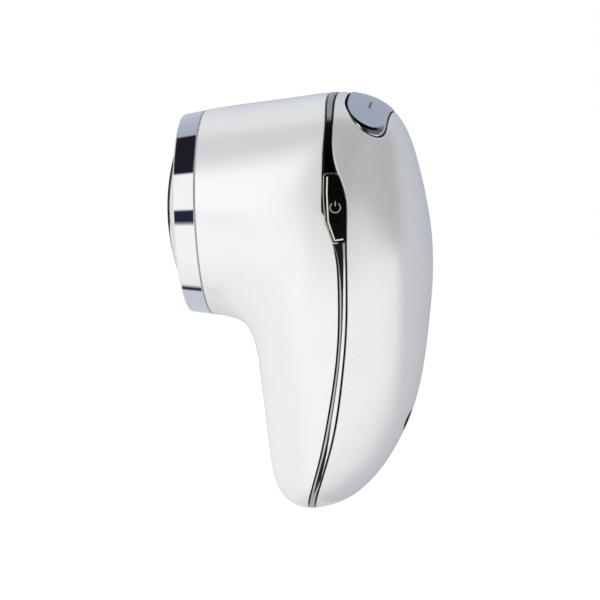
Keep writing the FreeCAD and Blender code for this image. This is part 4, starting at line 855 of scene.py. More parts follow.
def finish_mesh(mesh, finish):
    """Outward faces, smooth shading with sharp corners kept, and one finish."""
    faced_outwards(mesh).shade_smooth()
    mesh.set_sharp_from_angle(angle=SHARP_ANGLE)
    mesh.materials.clear()
    mesh.materials.append(finishes[finish])
    return mesh


def place_piece(name, mesh, finish, body, slot, *replaced):
    """Object for a finished mesh that rides on a body and stands for CAD nodes."""
    piece = bpy.data.objects.new(name, finish_mesh(mesh, finish))
    scene.collection.objects.link(piece)
    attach(piece, body)
    if replaced:
        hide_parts(*replaced)
    print(name, len(mesh.polygons), "faces,", round(signed_volume(mesh) / CUBIC_CM, 3), "cm3")


print("mesh helpers ready")

# %% [markdown]
# ## Front moulding
# Each moulding is a shell with a rounded edge all round, because a real injection moulding never has a
# knife edge and the bright line along the seam comes from that rounding. A Solidify and a Bevel modifier
# would round it unevenly on such a skin. So the outer skin is ruled between two loops, the rows crowd
# together at the edges, and close to an edge the points sink along a quarter circle. An inner skin one wall
# thickness below closes the shell.

# %% A moulded shell between two loops
WALL = 2.2 * MM
EDGE_ROW_SHARES = np.array([0.0, 0.06, 0.18, 0.36, 0.6, 0.85, 1.2])[:, None]
SHELL_ROWS = 84
INNER_ROWS = 40
THIN_SHARE = 0.42


def whole_loop(half):
    """Both halves of a loop, near half first, without repeating the ends."""
    far = half[-2:0:-1].copy()
    far[:, 0] = 2 * math.pi - far[:, 0]
    return np.concatenate([half, far])


def sunk(distance, radius):
    """Depth of a rounded edge at a distance from it."""
    return radius - np.sqrt(np.maximum(0, radius ** 2 - np.maximum(0, radius - distance) ** 2))


def moulded_shell(name, start_half, end_half, start_round, end_round):
    """Closed shell of the body's skin between two loops."""
    start, end = whole_loop(start_half), whole_loop(end_half)
    columns = len(start)

    def ruled(shares):
        shares = np.asarray(shares, float)[..., None]
        turn_along = (1 - shares) * start + shares * end
        return turn_along[..., 0], turn_along[..., 1]

    def speed(from_share):
        ends = (np.full(columns, share) for share in (from_share, from_share + SLOPE_STEP))
        here, there = (skin(*ruled(end_shares)) for end_shares in ends)
        return np.linalg.norm(there - here, axis=-1) / SLOPE_STEP

    def sunk_by(turn, along, depth):
        return skin(turn, along) - outward_normal(turn, along) * depth[..., None]

    start_rows, end_rows = EDGE_ROW_SHARES * start_round, EDGE_ROW_SHARES[::-1] * end_round
    first = start_rows / speed(0)
    last = 1 - end_rows / speed(1 - SLOPE_STEP)
    middle = np.linspace(0, 1, SHELL_ROWS + 2)[1:-1, None]
    shares = np.concatenate([first, first[-1] + middle * (last[0] - first[-1]), last])
    depth = np.zeros_like(shares)
    depth[:len(first)] = sunk(start_rows, start_round)
    depth[-len(last):] = sunk(end_rows, end_round)
    outside = sunk_by(*ruled(shares), depth)
    turn, along = ruled(np.repeat(np.linspace(1, 0, INNER_ROWS)[:, None], columns, 1))
    half_width = np.abs(skin(np.full_like(turn, math.pi / 2), along)[..., 1])
    inside = sunk_by(turn, along, np.minimum(WALL, THIN_SHARE * half_width))
    return ring_mesh(name, np.concatenate([outside, inside]))


SEAM_ROUND = 0.25 * MM
SHELL_ROUND = 0.45 * MM
seam_half = np.stack([np.linspace(math.pi, 0, COLUMNS), np.zeros(COLUMNS)], 1)
front_mesh = moulded_shell("front_moulding", seam_half, front_half, SEAM_ROUND, SHELL_ROUND)
place_piece("front_moulding", front_mesh, "pearl_white", "housing", "pearl_white", "front_shell")

# %% [markdown]
# ## The rocker's well
# The rear moulding has an opening on top for the rocker. From above, the rocker is a rounded plate with a
# straighter front. The opening is the same outline a little larger, and it has to be known as a loop on the
# skin before the moulding can end on it. So points drawn from above are looked up on the skin, first on a
# coarse grid, then by Newton's steps.

# %% Outline of the rocker and its well
ROCKER_PLACE = 9.8 * MM
ROCKER_LENGTH = 12.2 * MM
ROCKER_WIDTH = 43.6 * MM
WELL_GROW = 0.4 * MM
ROCKER_WIDEST_SHARE = 0.52
FRONT_SHOULDER_SHARE = 0.56
BACK_SHOULDER_SHARE = 0.70
CORNER_POINTS = 60
WELL_POINTS = 400
NEWTON_STEPS = 14
TOP_TURNS = math.pi * np.linspace(0.55, 1.45, 60)
TOP_START_SHARE = 0.2


def rocker_half_outline(grow):
    """Near half of the rocker's outline from above: x and y rows, front to back."""
    front = ROCKER_PLACE - ROCKER_LENGTH / 2
    back = ROCKER_PLACE + ROCKER_LENGTH / 2
    widest = front + ROCKER_WIDEST_SHARE * ROCKER_LENGTH
    half_width = ROCKER_WIDTH / 2
    quarter = np.linspace(0, math.pi / 2, CORNER_POINTS)
    corners = []
    for reach_x, shoulder_share in ((front - widest - grow, FRONT_SHOULDER_SHARE),
                                    (back - widest + grow, BACK_SHOULDER_SHARE)):
        shoulder = shoulder_share * half_width
        reach_y = half_width - shoulder + grow
        x, y = widest + reach_x * np.cos(quarter), -shoulder - reach_y * np.sin(quarter)
        corners.append(np.stack([x, y], 1))
    middle_front = [[corners[0][0, 0], 0.0]]
    middle_back = [[corners[1][0, 0], 0.0]]
    return np.concatenate([middle_front, corners[0], corners[1][::-1][1:], middle_back])


def find_on_skin(axes, wanted, turns, alongs):
    """Turn and length share of the points of the skin that have the wanted coordinates on two axes."""
    turn, along = (part.ravel() for part in np.meshgrid(turns, alongs, indexing="ij"))
    samples = skin(turn, along)[:, axes]
    nearest = ((wanted[:, None, :] - samples[None]) ** 2).sum(-1).argmin(1)
    place = np.stack([turn[nearest], along[nearest]], 1)
    for _ in range(NEWTON_STEPS):
        here = skin(*place.T)[:, axes]
        by_turn = (skin(place[:, 0] + SLOPE_STEP, place[:, 1])[:, axes] - here) / SLOPE_STEP
        by_along = (skin(place[:, 0], place[:, 1] + SLOPE_STEP)[:, axes] - here) / SLOPE_STEP
        miss = wanted - here
        scale = by_turn[:, 0] * by_along[:, 1] - by_turn[:, 1] * by_along[:, 0]
        place[:, 0] += (miss[:, 0] * by_along[:, 1] - miss[:, 1] * by_along[:, 0]) / scale
        place[:, 1] += (by_turn[:, 0] * miss[:, 1] - by_turn[:, 1] * miss[:, 0]) / scale
    return place


back_scan = np.linspace(0, 1, LOOP_SAMPLES)
furthest_back = back_scan[skin(math.pi, back_scan)[:, 0].argmax()]
top_alongs = np.linspace(TOP_START_SHARE, furthest_back, 80)
well_outline = rocker_half_outline(WELL_GROW)
well_outline = even_steps(well_outline, well_outline, WELL_POINTS)
well_places = find_on_skin([0, 1], well_outline, TOP_TURNS, top_alongs)
well_half = even_steps(skin(*well_places.T), well_places, COLUMNS)
well_half[[0, -1], 0] = math.pi
print("well from", in_mm(skin(*well_half[0])), "to", in_mm(skin(*well_half[-1])))

# %% [markdown]
# ## Rear moulding
# The rear moulding is the same kind of shell, between the well and the band's rear edge, with a wider
# rounding along the band. A round hole at the back of the grip takes the charging socket. One clean
# drill-like cut is what a Boolean is good at, so this hole is cut by one.

# %% Rear moulding with the socket hole
SOCKET_DROP = 11.4 * MM
SOCKET_SLOPE = math.radians(22)
SOCKET_MOUTH = 3.25 * MM
SOCKET_ROOM = 0.12 * MM
SOCKET_SEARCH_SHARES = (0.6, 0.95)
CUTTER_REACH = 6 * MM
CUTTER_STEPS = 96
WELL_ROUND = 0.55 * MM
RIM_ROUND = 0.8 * MM


def frame_matrix(origin, forward):
    """Matrix whose Z axis points forward and whose Y axis stays across the body."""
    forward = Vector(forward).normalized()
    across = Vector((0, 1, 0))
    turned = Matrix((across.cross(forward), across, forward)).transposed().to_4x4()
    return Matrix.Translation(Vector(origin)) @ turned


def cut_by(mesh, cutter_mesh):
    """Mesh with another closed mesh cut out of it."""
    blank = bpy.data.objects.new("blank", mesh)
    cutter = bpy.data.objects.new("cutter", cutter_mesh)
    for made in (blank, cutter):
        scene.collection.objects.link(made)
    boolean = blank.modifiers.new("cut", "BOOLEAN")
    boolean.operation = "DIFFERENCE"
    boolean.solver = "EXACT"
    boolean.object = cutter
    result = bpy.data.meshes.new_from_object(blank.evaluated_get(bpy.context.evaluated_depsgraph_get()))
    for made in (blank, cutter):
        bpy.data.objects.remove(made)
    result.name = mesh.name
    return result


def prism(name, low, high):
    """Closed prism between two outlines of as many points."""
    count = len(low)
    faces = grid_faces(2, count) + [tuple(range(count))[::-1], tuple(range(count, 2 * count))]
    return faced_outwards(mesh_from(name, np.concatenate([low, high]), faces))


socket_along = halve(lambda along: -SOCKET_DROP - skin(math.pi, along)[..., 2], *SOCKET_SEARCH_SHARES)
socket_axis = frame_matrix(skin(math.pi, socket_along), (math.cos(SOCKET_SLOPE), 0, -math.sin(SOCKET_SLOPE)))
hole_turns = np.linspace(0, 2 * math.pi, CUTTER_STEPS, endpoint=False)
hole_ring = np.stack([np.cos(hole_turns), np.sin(hole_turns), 0 * hole_turns], 1)
hole_ring *= SOCKET_MOUTH + SOCKET_ROOM
hole_cutter = prism("hole_cutter", *(hole_ring + [0, 0, reach] for reach in (-CUTTER_REACH, CUTTER_REACH)))
hole_cutter.transform(socket_axis)
rear_mesh = faced_outwards(moulded_shell("rear_moulding", well_half, rear_half, WELL_ROUND, RIM_ROUND))
rear_mesh = cut_by(rear_mesh, hole_cutter)
# The rear moulding wears the shaded copy of the pearl: painted shade.
place_piece("rear_moulding", rear_mesh, "pearl_white_shaded", "housing", "pearl_white", "rear_shell")

# %% [markdown]
# ## Trim band
# The dark polished band fills the gap between the mouldings, right round the body and under the tip. Below
# the button it has a crease along its middle, so that one half mirrors the front of the room and the other
# half the back. A swept profile would not follow two edges that swell apart round the button. So each row
# of the grid lies a share of the way from the front edge to the rear edge, and the profile is added along
# the normal.

# %% Painted reflections and seam shade of the band
# Width of the painted seam shade along each edge of the band.
SEAM_SHADE_WIDTH = 0.34 * MM
# Each row: level in mm, shares across the band where the first two strips end, painted tones of the three
# strips, which paint the reflections that the real band shows.
PAINTED_TONE_ROWS = np.array([
    (-45, 0.40, 0.60, 0.55, 0.55, 0.55), (-33.5, 0.40, 0.60, 0.55, 0.55, 0.55),
    (-32.5, 0.40, 0.60, 0.60, 0.05, 0.65), (-29, 0.34, 0.80, 0.60, 0.0, 0.70),
    (-20, 0.36, 0.62, 0.65, 0.0, 1.0), (-12, 0.34, 0.47, 0.55, 0.10, 1.0),
    (10, 0.34, 0.47, 0.50, 0.10, 1.0), (26, 0.36, 0.56, 0.55, 0.0, 1.0),
    (34, 0.28, 0.66, 0.45, 0.0, 0.95), (42, 0.20, 0.76, 0.15, 0.0, 0.75),
    (60, 0.10, 0.90, 0.10, 0.0, 0.0), (68, 0.10, 0.90, 0.10, 0.0, 0.0),
    (71, 0.25, 0.75, 0.0, 0.10, 0.0), (75.5, 0.25, 0.75, 0.0, 0.16, 0.0),
    (77, 0.10, 0.90, 0.60, 0.60, 0.60), (90, 0.10, 0.90, 0.75, 0.75, 0.75),
])


def band_painted_tones(levels, share, to_edge):
    """Painted tone of the plating over the band: three strips of painted reflection, and a line of painted
    seam shade along either edge.
    """
    split_one, split_two, painted_strip_one, painted_strip_two, painted_strip_three = (
        np.interp(levels / MM, PAINTED_TONE_ROWS[:, 0], column) for column in PAINTED_TONE_ROWS[:, 1:].T)
    tone = np.where(share < split_one, painted_strip_one, np.where(share < split_two, painted_strip_two, painted_strip_three))
    return np.where(to_edge < SEAM_SHADE_WIDTH, 0.0, tone)


print("tone rows:", len(PAINTED_TONE_ROWS))

# %% [markdown]
# With the painted tones known, the band itself is one closed grid: rounded at both edges, bulged as far as
# the skin bends between them, and creased like a low roof. Two deep rows close it underneath.

# %% Band between the two edges
SEAM_GAP = 0.2 * MM
BAND_ROUND = 0.3 * MM
BAND_DEPTH = 2.0 * MM
CREASE_RISE = 0.34 * MM
CREASE_TOP = 40 * MM
CREASE_FADE = 8 * MM
CREASE_END = -34 * MM
BAND_EDGE_SHARES = np.array([0.0, 0.1, 0.28, 0.55, 1.0])[:, None]
BAND_ROWS = 31


def trim_band_mesh():
    """Closed ring of the band's profile carried round the body."""
    front, rear = whole_loop(front_half), whole_loop(rear_half)
    front_points, rear_points = skin(*front.T), skin(*rear.T)
    front_normals, rear_normals = outward_normal(*front.T), outward_normal(*rear.T)
    width = np.linalg.norm(rear_points - front_points, axis=1)
    bend = np.arccos(np.clip((front_normals * rear_normals).sum(1), -1, 1))
    near = SEAM_GAP + BAND_EDGE_SHARES * BAND_ROUND
    middle = np.linspace(0, 1, BAND_ROWS + 2)[1:-1, None]
    inner = near[-1] + middle * (width - 2 * near[-1])
    distance = np.concatenate([near + 0 * width, inner, (width - near)[::-1]])
    share = distance / width
    to_edge = np.minimum(distance, width - distance) - SEAM_GAP
    points = (1 - share)[..., None] * front_points + share[..., None] * rear_points
    normals = (1 - share)[..., None] * front_normals + share[..., None] * rear_normals
    normals /= np.linalg.norm(normals, axis=-1, keepdims=True)
    levels = points[..., 2]
    crease = np.clip((CREASE_TOP - levels) / CREASE_FADE, 0, 1)
    crease *= np.clip((levels - CREASE_END) / CREASE_FADE, 0, 1)
    roof = 1 - np.abs(2 * share - 1)
    bulge = width * bend * share * (1 - share) / 2
    height = bulge + CREASE_RISE * crease * roof - sunk(to_edge, BAND_ROUND)
    outside = points + normals * height[..., None]
    under = points[[-1, 0]] - normals[[-1, 0]] * BAND_DEPTH
    mesh = ring_mesh("trim_band_skin", np.concatenate([outside, under]))
    # Painted tones of the band: painted reflections in three strips, and painted seam shade along the edges.
    set_painted_tones(mesh, np.concatenate([band_painted_tones(outside[..., 2], share, to_edge), np.zeros((2, len(width)))]))
    return mesh


band_mesh = finish_mesh(trim_band_mesh(), "smoke_chrome")
print("band faces:", len(band_mesh.polygons))

# %% [markdown]
# ## Power button
# The button is a black kite with soft corners that sits in a thin bright frame. Its outline is a polygon,
# so insets of that polygon with round corners make every ring: the frame's outside and inside, the bevel
# and the flat of the cap. The rings are drawn on the side view and each point is lifted to the skin there.

# %% Kite rings on the side of the body
BUTTON_PLACE = 3.15 * MM
BUTTON_RISE = 1.5 * MM
BUTTON_LEVEL = HEAD_LIFT + BUTTON_RISE
BUTTON_WIDTH = 5.5 * MM
BUTTON_LENGTH = 19.8 * MM
BUTTON_SHARES = [
    (-0.545, 0.485), (0.036, 0.490), (0.455, 0.083), (0.455, -0.485),
    (-0.090, -0.510), (-0.455, -0.207), (-0.545, 0.227),
]
KITE_ROUND = 0.5 * MM
LEAST_ROUND = 0.08 * MM
KITE_CORNER_STEPS = 7
KITE_SIDE_STEPS = 8
SIDE_TURNS = math.pi * np.linspace(0.15, 0.85, 70)
SIDE_ALONGS = np.linspace(0.2, 0.75, 80)
kite = np.array([BUTTON_PLACE, BUTTON_LEVEL]) + np.array([BUTTON_WIDTH, BUTTON_LENGTH]) * BUTTON_SHARES


def shrink(corners, inset):
    """Convex clockwise polygon with each side moved inwards."""
    sides = np.roll(corners, -1, 0) - corners
    sides /= np.linalg.norm(sides, axis=1, keepdims=True)
    inward = np.stack([sides[:, 1], -sides[:, 0]], 1)
    inward_before = np.roll(inward, 1, 0)
    return corners + inset * (inward + inward_before) / (1 + (inward * inward_before).sum(1, keepdims=True))


def kite_ring(inset):
    """Outline of the kite drawn in by an inset, with round corners, always with as many points."""
    radius = max(KITE_ROUND - inset, LEAST_ROUND)
    core = shrink(kite, inset + radius)
    sides = np.roll(core, -1, 0) - core
    headings = np.arctan2(sides[:, 0], -sides[:, 1])
    ring = []
    for number, corner in enumerate(core):
        start = headings[number - 1]
        finish = start - (start - headings[number]) % (2 * math.pi)
        angles = np.linspace(start, finish, KITE_CORNER_STEPS)
        arc = corner + radius * np.stack([np.cos(angles), np.sin(angles)], 1)
        following = core[(number + 1) % len(core)]
        leave = following + radius * np.array([math.cos(finish), math.sin(finish)])
        ring.extend([arc, np.linspace(arc[-1], leave, KITE_SIDE_STEPS + 1)[1:-1]])
    return np.concatenate(ring)


def on_side(flat, height, far=False):
    """Points of the side view lifted to a height above the skin, on the near or the far side."""
    points = skin(*find_on_skin([0, 2], flat, SIDE_TURNS, SIDE_ALONGS).T) - [0, height, 0]
    return points * [1, -1, 1] if far else points


def kite_rings(rows, far):
    """Rings of a kite piece, each from an inset, a height and a shift to the back."""
    return [on_side(kite_ring(inset) + [shift, 0.0], height, far) for inset, height, shift in rows]


print("kite ring:", len(kite_ring(0.0)), "points, box", in_mm(np.ptp(kite_ring(0.0), axis=0)))

# %% [markdown]
# The band has a kite-shaped window on either side, and a thin frame fills it. On the real button a bright
# reflection shows only along the front of the frame, so the frame's painted tone falls to painted dark
# towards the back: a painted reflection.

# %% Band window and frames
FRAME_OUTSET = 0.62 * MM
FRAME_INSET = 0.16 * MM
FRAME_RISE = 0.16 * MM
FRAME_BEVEL = 0.16 * MM
FRAME_SLOPE = 0.06 * MM
FRAME_DEPTH = 1.8 * MM
FRAME_BRIGHT_TO = 3.6 * MM
FRAME_PAINTED_DARK_FROM = 4.2 * MM
CAP_SHIFT = 0.15 * MM
WINDOW_ROOM = 0.05 * MM

window_ring = kite_ring(-FRAME_OUTSET - WINDOW_ROOM)
window_ends = (np.insert(window_ring, 1, side * BODY_WIDTH, axis=1) for side in (-1, 1))
band_mesh = cut_by(band_mesh, prism("window_cutter", *window_ends))
place_piece("trim_band_skin", band_mesh, "smoke_chrome", "housing", "smoke_chrome", "trim_band")

frame_rows = [
    (-FRAME_OUTSET, -FRAME_DEPTH, 0.0), (-FRAME_OUTSET, FRAME_RISE - FRAME_BEVEL, 0.0),
    (-FRAME_OUTSET + FRAME_BEVEL, FRAME_RISE, 0.0), (-FRAME_INSET - FRAME_SLOPE, FRAME_RISE, CAP_SHIFT),
    (-FRAME_INSET, FRAME_RISE - FRAME_SLOPE, CAP_SHIFT), (-FRAME_INSET, -FRAME_DEPTH, CAP_SHIFT),
]
for frame_name, is_far in (("button_frame", False), ("window_frame", True)):
    rings = np.array(kite_rings(frame_rows, is_far))
    frame_mesh = ring_mesh(frame_name, rings)
    # Painted reflection: the frame stays bright at the front and is painted dark towards the back.
    set_painted_tones(frame_mesh, np.interp(rings[..., 0], [FRAME_BRIGHT_TO, FRAME_PAINTED_DARK_FROM], [1.0, 0.0]))
    place_piece(frame_name, frame_mesh, "warm_chrome", "housing", "chrome")

# %% [markdown]
# The cap stands a little proud of its frame, with a rounded bevel, and moves with the button. On the far
# side the same cap, set a little lower, is the dark glass of the indicator window and stays with the
# housing.

# %% Button cap and indicator glass
CAP_PROUD = 0.44 * MM
CAP_BEVEL = 0.5 * MM
CAP_DEPTH = 2.6 * MM
CAP_INSET_SHARES = (0.0, 0.12, 0.3, 0.55, 0.8, 1.0)
CAP_FILL_SHARES = (0.75, 0.5, 0.25)
GLASS_SET = -0.1 * MM


def kite_cap(name, proud, far):
    """Closed cap: wall, rounded bevel, then rings that shrink to the middle."""
    insets = [share * CAP_BEVEL for share in CAP_INSET_SHARES]
    rows = [(0.0, -CAP_DEPTH, CAP_SHIFT)]
    rows += [(inset, proud - sunk(inset, CAP_BEVEL), CAP_SHIFT) for inset in insets]
    flat = kite_ring(CAP_BEVEL) + [CAP_SHIFT, 0.0]
    middle = flat.mean(0)
    fill = [on_side(middle + share * (flat - middle), proud, far) for share in CAP_FILL_SHARES]
    return capped_mesh(name, kite_rings(rows, far) + fill, on_side(middle[None], proud, far)[0])


cap_mesh = kite_cap("power_button_cap", CAP_PROUD, False)
place_piece("power_button_cap", cap_mesh, "black_gloss", "button", "black_gloss", "power_button")
glass_mesh = kite_cap("indicator_glass", GLASS_SET, True)
place_piece("indicator_glass", glass_mesh, "black_gloss", "housing", "black_gloss", "indicator_window")

# %% [markdown]
# ## Power symbol
# The generic power sign is printed on the cap: an open ring with a bar through the gap. A texture would
# need an image or a long shader, and it would not show in the exported mesh. Two thin ribbons a hair above
# the cap do both.

# %% Ribbon symbol on the cap
SYMBOL_SHIFT = 0.1 * MM
SYMBOL_RADIUS = 1.5 * MM
SYMBOL_STROKE = 0.34 * MM
SYMBOL_GAP = math.radians(38)
BAR_SHARES = (0.25, 1.25)
RIBBON_LIFT = 0.03 * MM
RIBBON_SINK = 0.1 * MM
RING_STEPS = 60
BAR_STEPS = 8


def ribbon(path, stroke, lifted):
    """Closed flat ribbon along a flat path, put on its surface by a function of outline and height."""
    heading = np.gradient(path, axis=0)
    heading /= np.linalg.norm(heading, axis=1, keepdims=True)
    beside = np.stack([-heading[:, 1], heading[:, 0]], 1) * stroke / 2
    outline = np.concatenate([path + beside, (path - beside)[::-1]])
    count = len(path)
    faces = grid_faces(2, 2 * count)
    for step in range(count - 1):
        mirror = 2 * count - 1 - step
        faces.append((step, mirror, mirror - 1, step + 1))
        faces.append(tuple(2 * count + corner for corner in (step, step + 1, mirror - 1, mirror)))
    return np.concatenate([lifted(outline, -RIBBON_SINK), lifted(outline, RIBBON_LIFT)]), faces


def ribbons_mesh(name, paths, stroke, lifted):
    """One mesh of several ribbons."""
    points = []
    faces = []
    for path in paths:
        more_points, more_faces = ribbon(path, stroke, lifted)
        faces.extend(tuple(corner + len(points) for corner in face) for face in more_faces)
        points.extend(more_points)
    return mesh_from(name, points, faces)


def on_cap(outline, height):
    """Points of the side view lifted to a height above the cap."""
    return on_side(outline, CAP_PROUD + height)


symbol_place = np.array([BUTTON_PLACE + SYMBOL_SHIFT, BUTTON_LEVEL + SYMBOL_SHIFT])
turns = np.linspace(math.pi / 2 + SYMBOL_GAP, 2.5 * math.pi - SYMBOL_GAP, RING_STEPS)
open_ring = symbol_place + SYMBOL_RADIUS * np.stack([np.cos(turns), np.sin(turns)], 1)
bar = symbol_place + SYMBOL_RADIUS * np.linspace(*BAR_SHARES, BAR_STEPS)[:, None] * [0, 1]
symbol_mesh = ribbons_mesh("power_symbol", [open_ring, bar], SYMBOL_STROKE, on_cap)
place_piece("power_symbol", symbol_mesh, "symbol_grey", "button", "reflector_white")

# %% [markdown]
# A pale line runs on the cap beside the frame, down the front and round the lower corner: a painted
# highlight, where the real cap's bevel catches the light. It is one more ribbon, along corners of the kite
# drawn in a little further.

# %% Painted highlight on the cap
HIGHLIGHT_INSET = 0.45 * MM
HIGHLIGHT_STROKE = 0.42 * MM
HIGHLIGHT_STEPS = 6
HIGHLIGHT_CORNERS = [3, 4, 5, 6, 0]
highlight_corners = shrink(kite, HIGHLIGHT_INSET)[HIGHLIGHT_CORNERS] + [CAP_SHIFT, 0.0]
highlight_corners[0, 0] += HIGHLIGHT_INSET / 2
highlight_path = [np.linspace(here, there, HIGHLIGHT_STEPS, endpoint=False)
             for here, there in zip(highlight_corners, highlight_corners[1:])]
highlight_path = np.concatenate(highlight_path + [highlight_corners[-1:]])
highlight_mesh = ribbons_mesh("cap_highlight", [highlight_path], HIGHLIGHT_STROKE, on_cap)
place_piece("cap_highlight", highlight_mesh, "trim_cream", "button", "chrome")

# %% [markdown]
# ## Level rocker
# The rocker is a bright plated plate that bridges the rounded top of the rear moulding: flat across, so its
# two ends stand up with a rounded wall. Its crown is an arch from the top line of the skin down to a level
# at either end, and that level falls towards the back. Rings of the outline step inwards over a rounded
# edge and then to the middle. The edge carries a painted dark reflection, as a line that fades out where the
# edge faces the back.

# %% Rocker plate
ROCKER_RISE = 0.3 * MM
CROWN_END_LEVEL = 77.6 * MM
CROWN_END_DROP = 6.0 * MM
ROCKER_ROUND = 0.7 * MM
END_ROUND = 1.4 * MM
END_ROUND_POWER = 4
ROCKER_FOOT = 1.2 * MM
FOOT_INSET = 0.1 * MM
DARK_REFLECTION_STARTS = 0.72
DARK_REFLECTION_ENDS = 0.9
ROCKER_POINTS = 240
ROCKER_EDGE_SHARES = (0.0, 0.05, 0.12, 0.22, 0.3, 0.5, 0.62, 0.75, 1.0)
# Painted tone of each edge row: 0 paints a dark reflection on the rounded edge.
ROCKER_EDGE_PAINTED_TONES = (1.0, 1.0, 1.0, 1.0, 0.0, 0.0, 0.0, 1.0, 1.0)
ROCKER_FILL_SHARES = (0.86, 0.7, 0.52, 0.34, 0.17)


def on_top(flat, height):
    """Points seen from above, lifted to a height over the skin."""
    return skin(*find_on_skin([0, 1], flat, TOP_TURNS, top_alongs).T) + [0, 0, height]


def on_crown(flat, height):
    """Points seen from above, lifted to a height over the rocker's crown: an arch across the body."""
    back_share = (flat[:, 0] - ROCKER_PLACE) / ROCKER_LENGTH + 0.5
    end_level = CROWN_END_LEVEL - CROWN_END_DROP * back_share ** 2
    top_level = on_top(flat * [1, 0], ROCKER_RISE)[:, 2]
    arch = (flat[:, 1] / (ROCKER_WIDTH / 2)) ** 2
    return np.stack([flat[:, 0], flat[:, 1], top_level - (top_level - end_level) * arch + height], 1)


def rocker_loop(grow):
    """Whole outline of the rocker from above."""
    half = rocker_half_outline(grow)
    half = even_steps(half, half, ROCKER_POINTS // 2 + 1)
    return np.concatenate([half, half[-2:0:-1] * [1, -1]])


def rocker_mesh():
    """Closed plate: wall, rounded edge, then rings that shrink to the middle."""
    outline = rocker_loop(0.0)
    heading = np.roll(outline, -1, 0) - np.roll(outline, 1, 0)
    heading /= np.linalg.norm(heading, axis=1, keepdims=True)
    middle = np.array([ROCKER_PLACE, 0.0])
    inward = np.stack([-heading[:, 1], heading[:, 0]], 1)
    inward *= np.sign(((middle - outline) * inward).sum(1, keepdims=True))
    end_share = (outline[:, 1] / (ROCKER_WIDTH / 2)) ** END_ROUND_POWER
    radius = ROCKER_ROUND + (END_ROUND - ROCKER_ROUND) * end_share
    flat = outline + inward * radius[:, None]
    foot = on_top(outline + inward * FOOT_INSET, -ROCKER_FOOT)
    edge = [on_crown(outline + inward * (share * radius)[:, None], -sunk(share * radius, radius))
            for share in ROCKER_EDGE_SHARES]
    fill = [on_crown(middle + share * (flat - middle), 0.0) for share in ROCKER_FILL_SHARES]
    mesh = capped_mesh("rocker_plate", [foot, *edge, *fill], on_crown(middle[None], 0.0)[0])
    row_painted_tones = np.array([1.0, *ROCKER_EDGE_PAINTED_TONES] + [1.0] * len(fill))
    # Share of the painted dark reflection: full round the edge, fading out where it faces the back.
    dark_reflection_share = np.interp(-inward[:, 0], [DARK_REFLECTION_STARTS, DARK_REFLECTION_ENDS], [1.0, 0.0])
    set_painted_tones(mesh, np.append(1 - (1 - row_painted_tones[:, None]) * dark_reflection_share, [1.0, 1.0]))
    return mesh


place_piece("rocker_plate", rocker_mesh(), "blue_chrome", "rocker", "blue_chrome", "level_rocker")

# %% [markdown]
# Round the rocker the real well shows as a thin dark line of shade. A bare gap would show the pearl wall
# inside, so a soft black strip fills most of it, just below the skin and clear of the plate: painted shade, a
# dark piece where the real well only has shade.

# %% Painted shade in the rocker's well
GAP_SHADE_ROOM = 0.15 * MM
GAP_SHADE_SET = 0.2 * MM
GAP_SHADE_DEPTH = 1.0 * MM
GAP_SHADE_CLEAR = 0.02 * MM
gap_shade_grow = WELL_GROW - GAP_SHADE_CLEAR
gap_shade_rows = [(gap_shade_grow, -GAP_SHADE_DEPTH), (gap_shade_grow, -GAP_SHADE_SET), (GAP_SHADE_ROOM, -GAP_SHADE_SET),
               (GAP_SHADE_ROOM, -GAP_SHADE_DEPTH)]
gap_shade_mesh = ring_mesh("rocker_gap_shade", [on_top(rocker_loop(grow), height) for grow, height in gap_shade_rows])
place_piece("rocker_gap_shade", gap_shade_mesh, "gasket_black", "housing", "chip_black")

# %% [markdown]
# The rocker's two halves are marked minus and plus, so that a thumb knows which way is less. The marks are
# ribbons on the crown, and they ride with the rocker.

# %% Minus and plus on the rocker
MARK_REACH = 11 * MM
MARK_BACK = 0.9 * MM
MARK_LENGTH = 4.0 * MM
MARK_STROKE = 0.65 * MM
MARK_STEPS = 12
ACROSS = (0.0, 1.0)
LENGTHWISE = (1.0, 0.0)
MARKS = [("minus_mark", -1, ACROSS), ("plus_mark_across", 1, ACROSS), ("plus_mark_along", 1, LENGTHWISE)]

for mark_name, mark_side, mark_heading in MARKS:
    mark_middle = np.array([ROCKER_PLACE + MARK_BACK, mark_side * MARK_REACH])
    stroke_shares = np.linspace(-0.5, 0.5, MARK_STEPS)[:, None]
    stroke_path = mark_middle + stroke_shares * MARK_LENGTH * np.array(mark_heading)
    mark_mesh = ribbons_mesh(mark_name, [stroke_path], MARK_STROKE, on_crown)
    place_piece(mark_name, mark_mesh, "mark_grey", "rocker", "frame_grey")

# %% [markdown]
# ## Turned pieces
# Ring, seal, lens and socket are bodies of revolution. A Screw modifier or a lathe loop could make them.
# Here one geometry node tree does: it turns the object's own edges into a profile curve and sweeps that
# curve round a small circle, so a piece is only a list of radii and heights. Corners of the profile are
# rounded first, because the thin bright lines on the real ring are its bevels.


# %% Helpers for node trees
def new_tree(name, inputs):
    """Node tree with one geometry input and named number inputs; also their wires and identifiers."""
    tree = bpy.data.node_groups.new(name, "GeometryNodeTree")
    tree.interface.new_socket("Geometry", in_out="INPUT", socket_type="NodeSocketGeometry")
    values = {}
    for label, value in inputs.items():
        kind = "NodeSocketInt" if isinstance(value, int) else "NodeSocketFloat"
        values[tree.interface.new_socket(label, in_out="INPUT", socket_type=kind).identifier] = value
    tree.interface.new_socket("Geometry", in_out="OUTPUT", socket_type="NodeSocketGeometry")
    given = Wire(tree).node("NodeGroupInput")
    return given, {label: given.beside(label) for label in inputs}, values


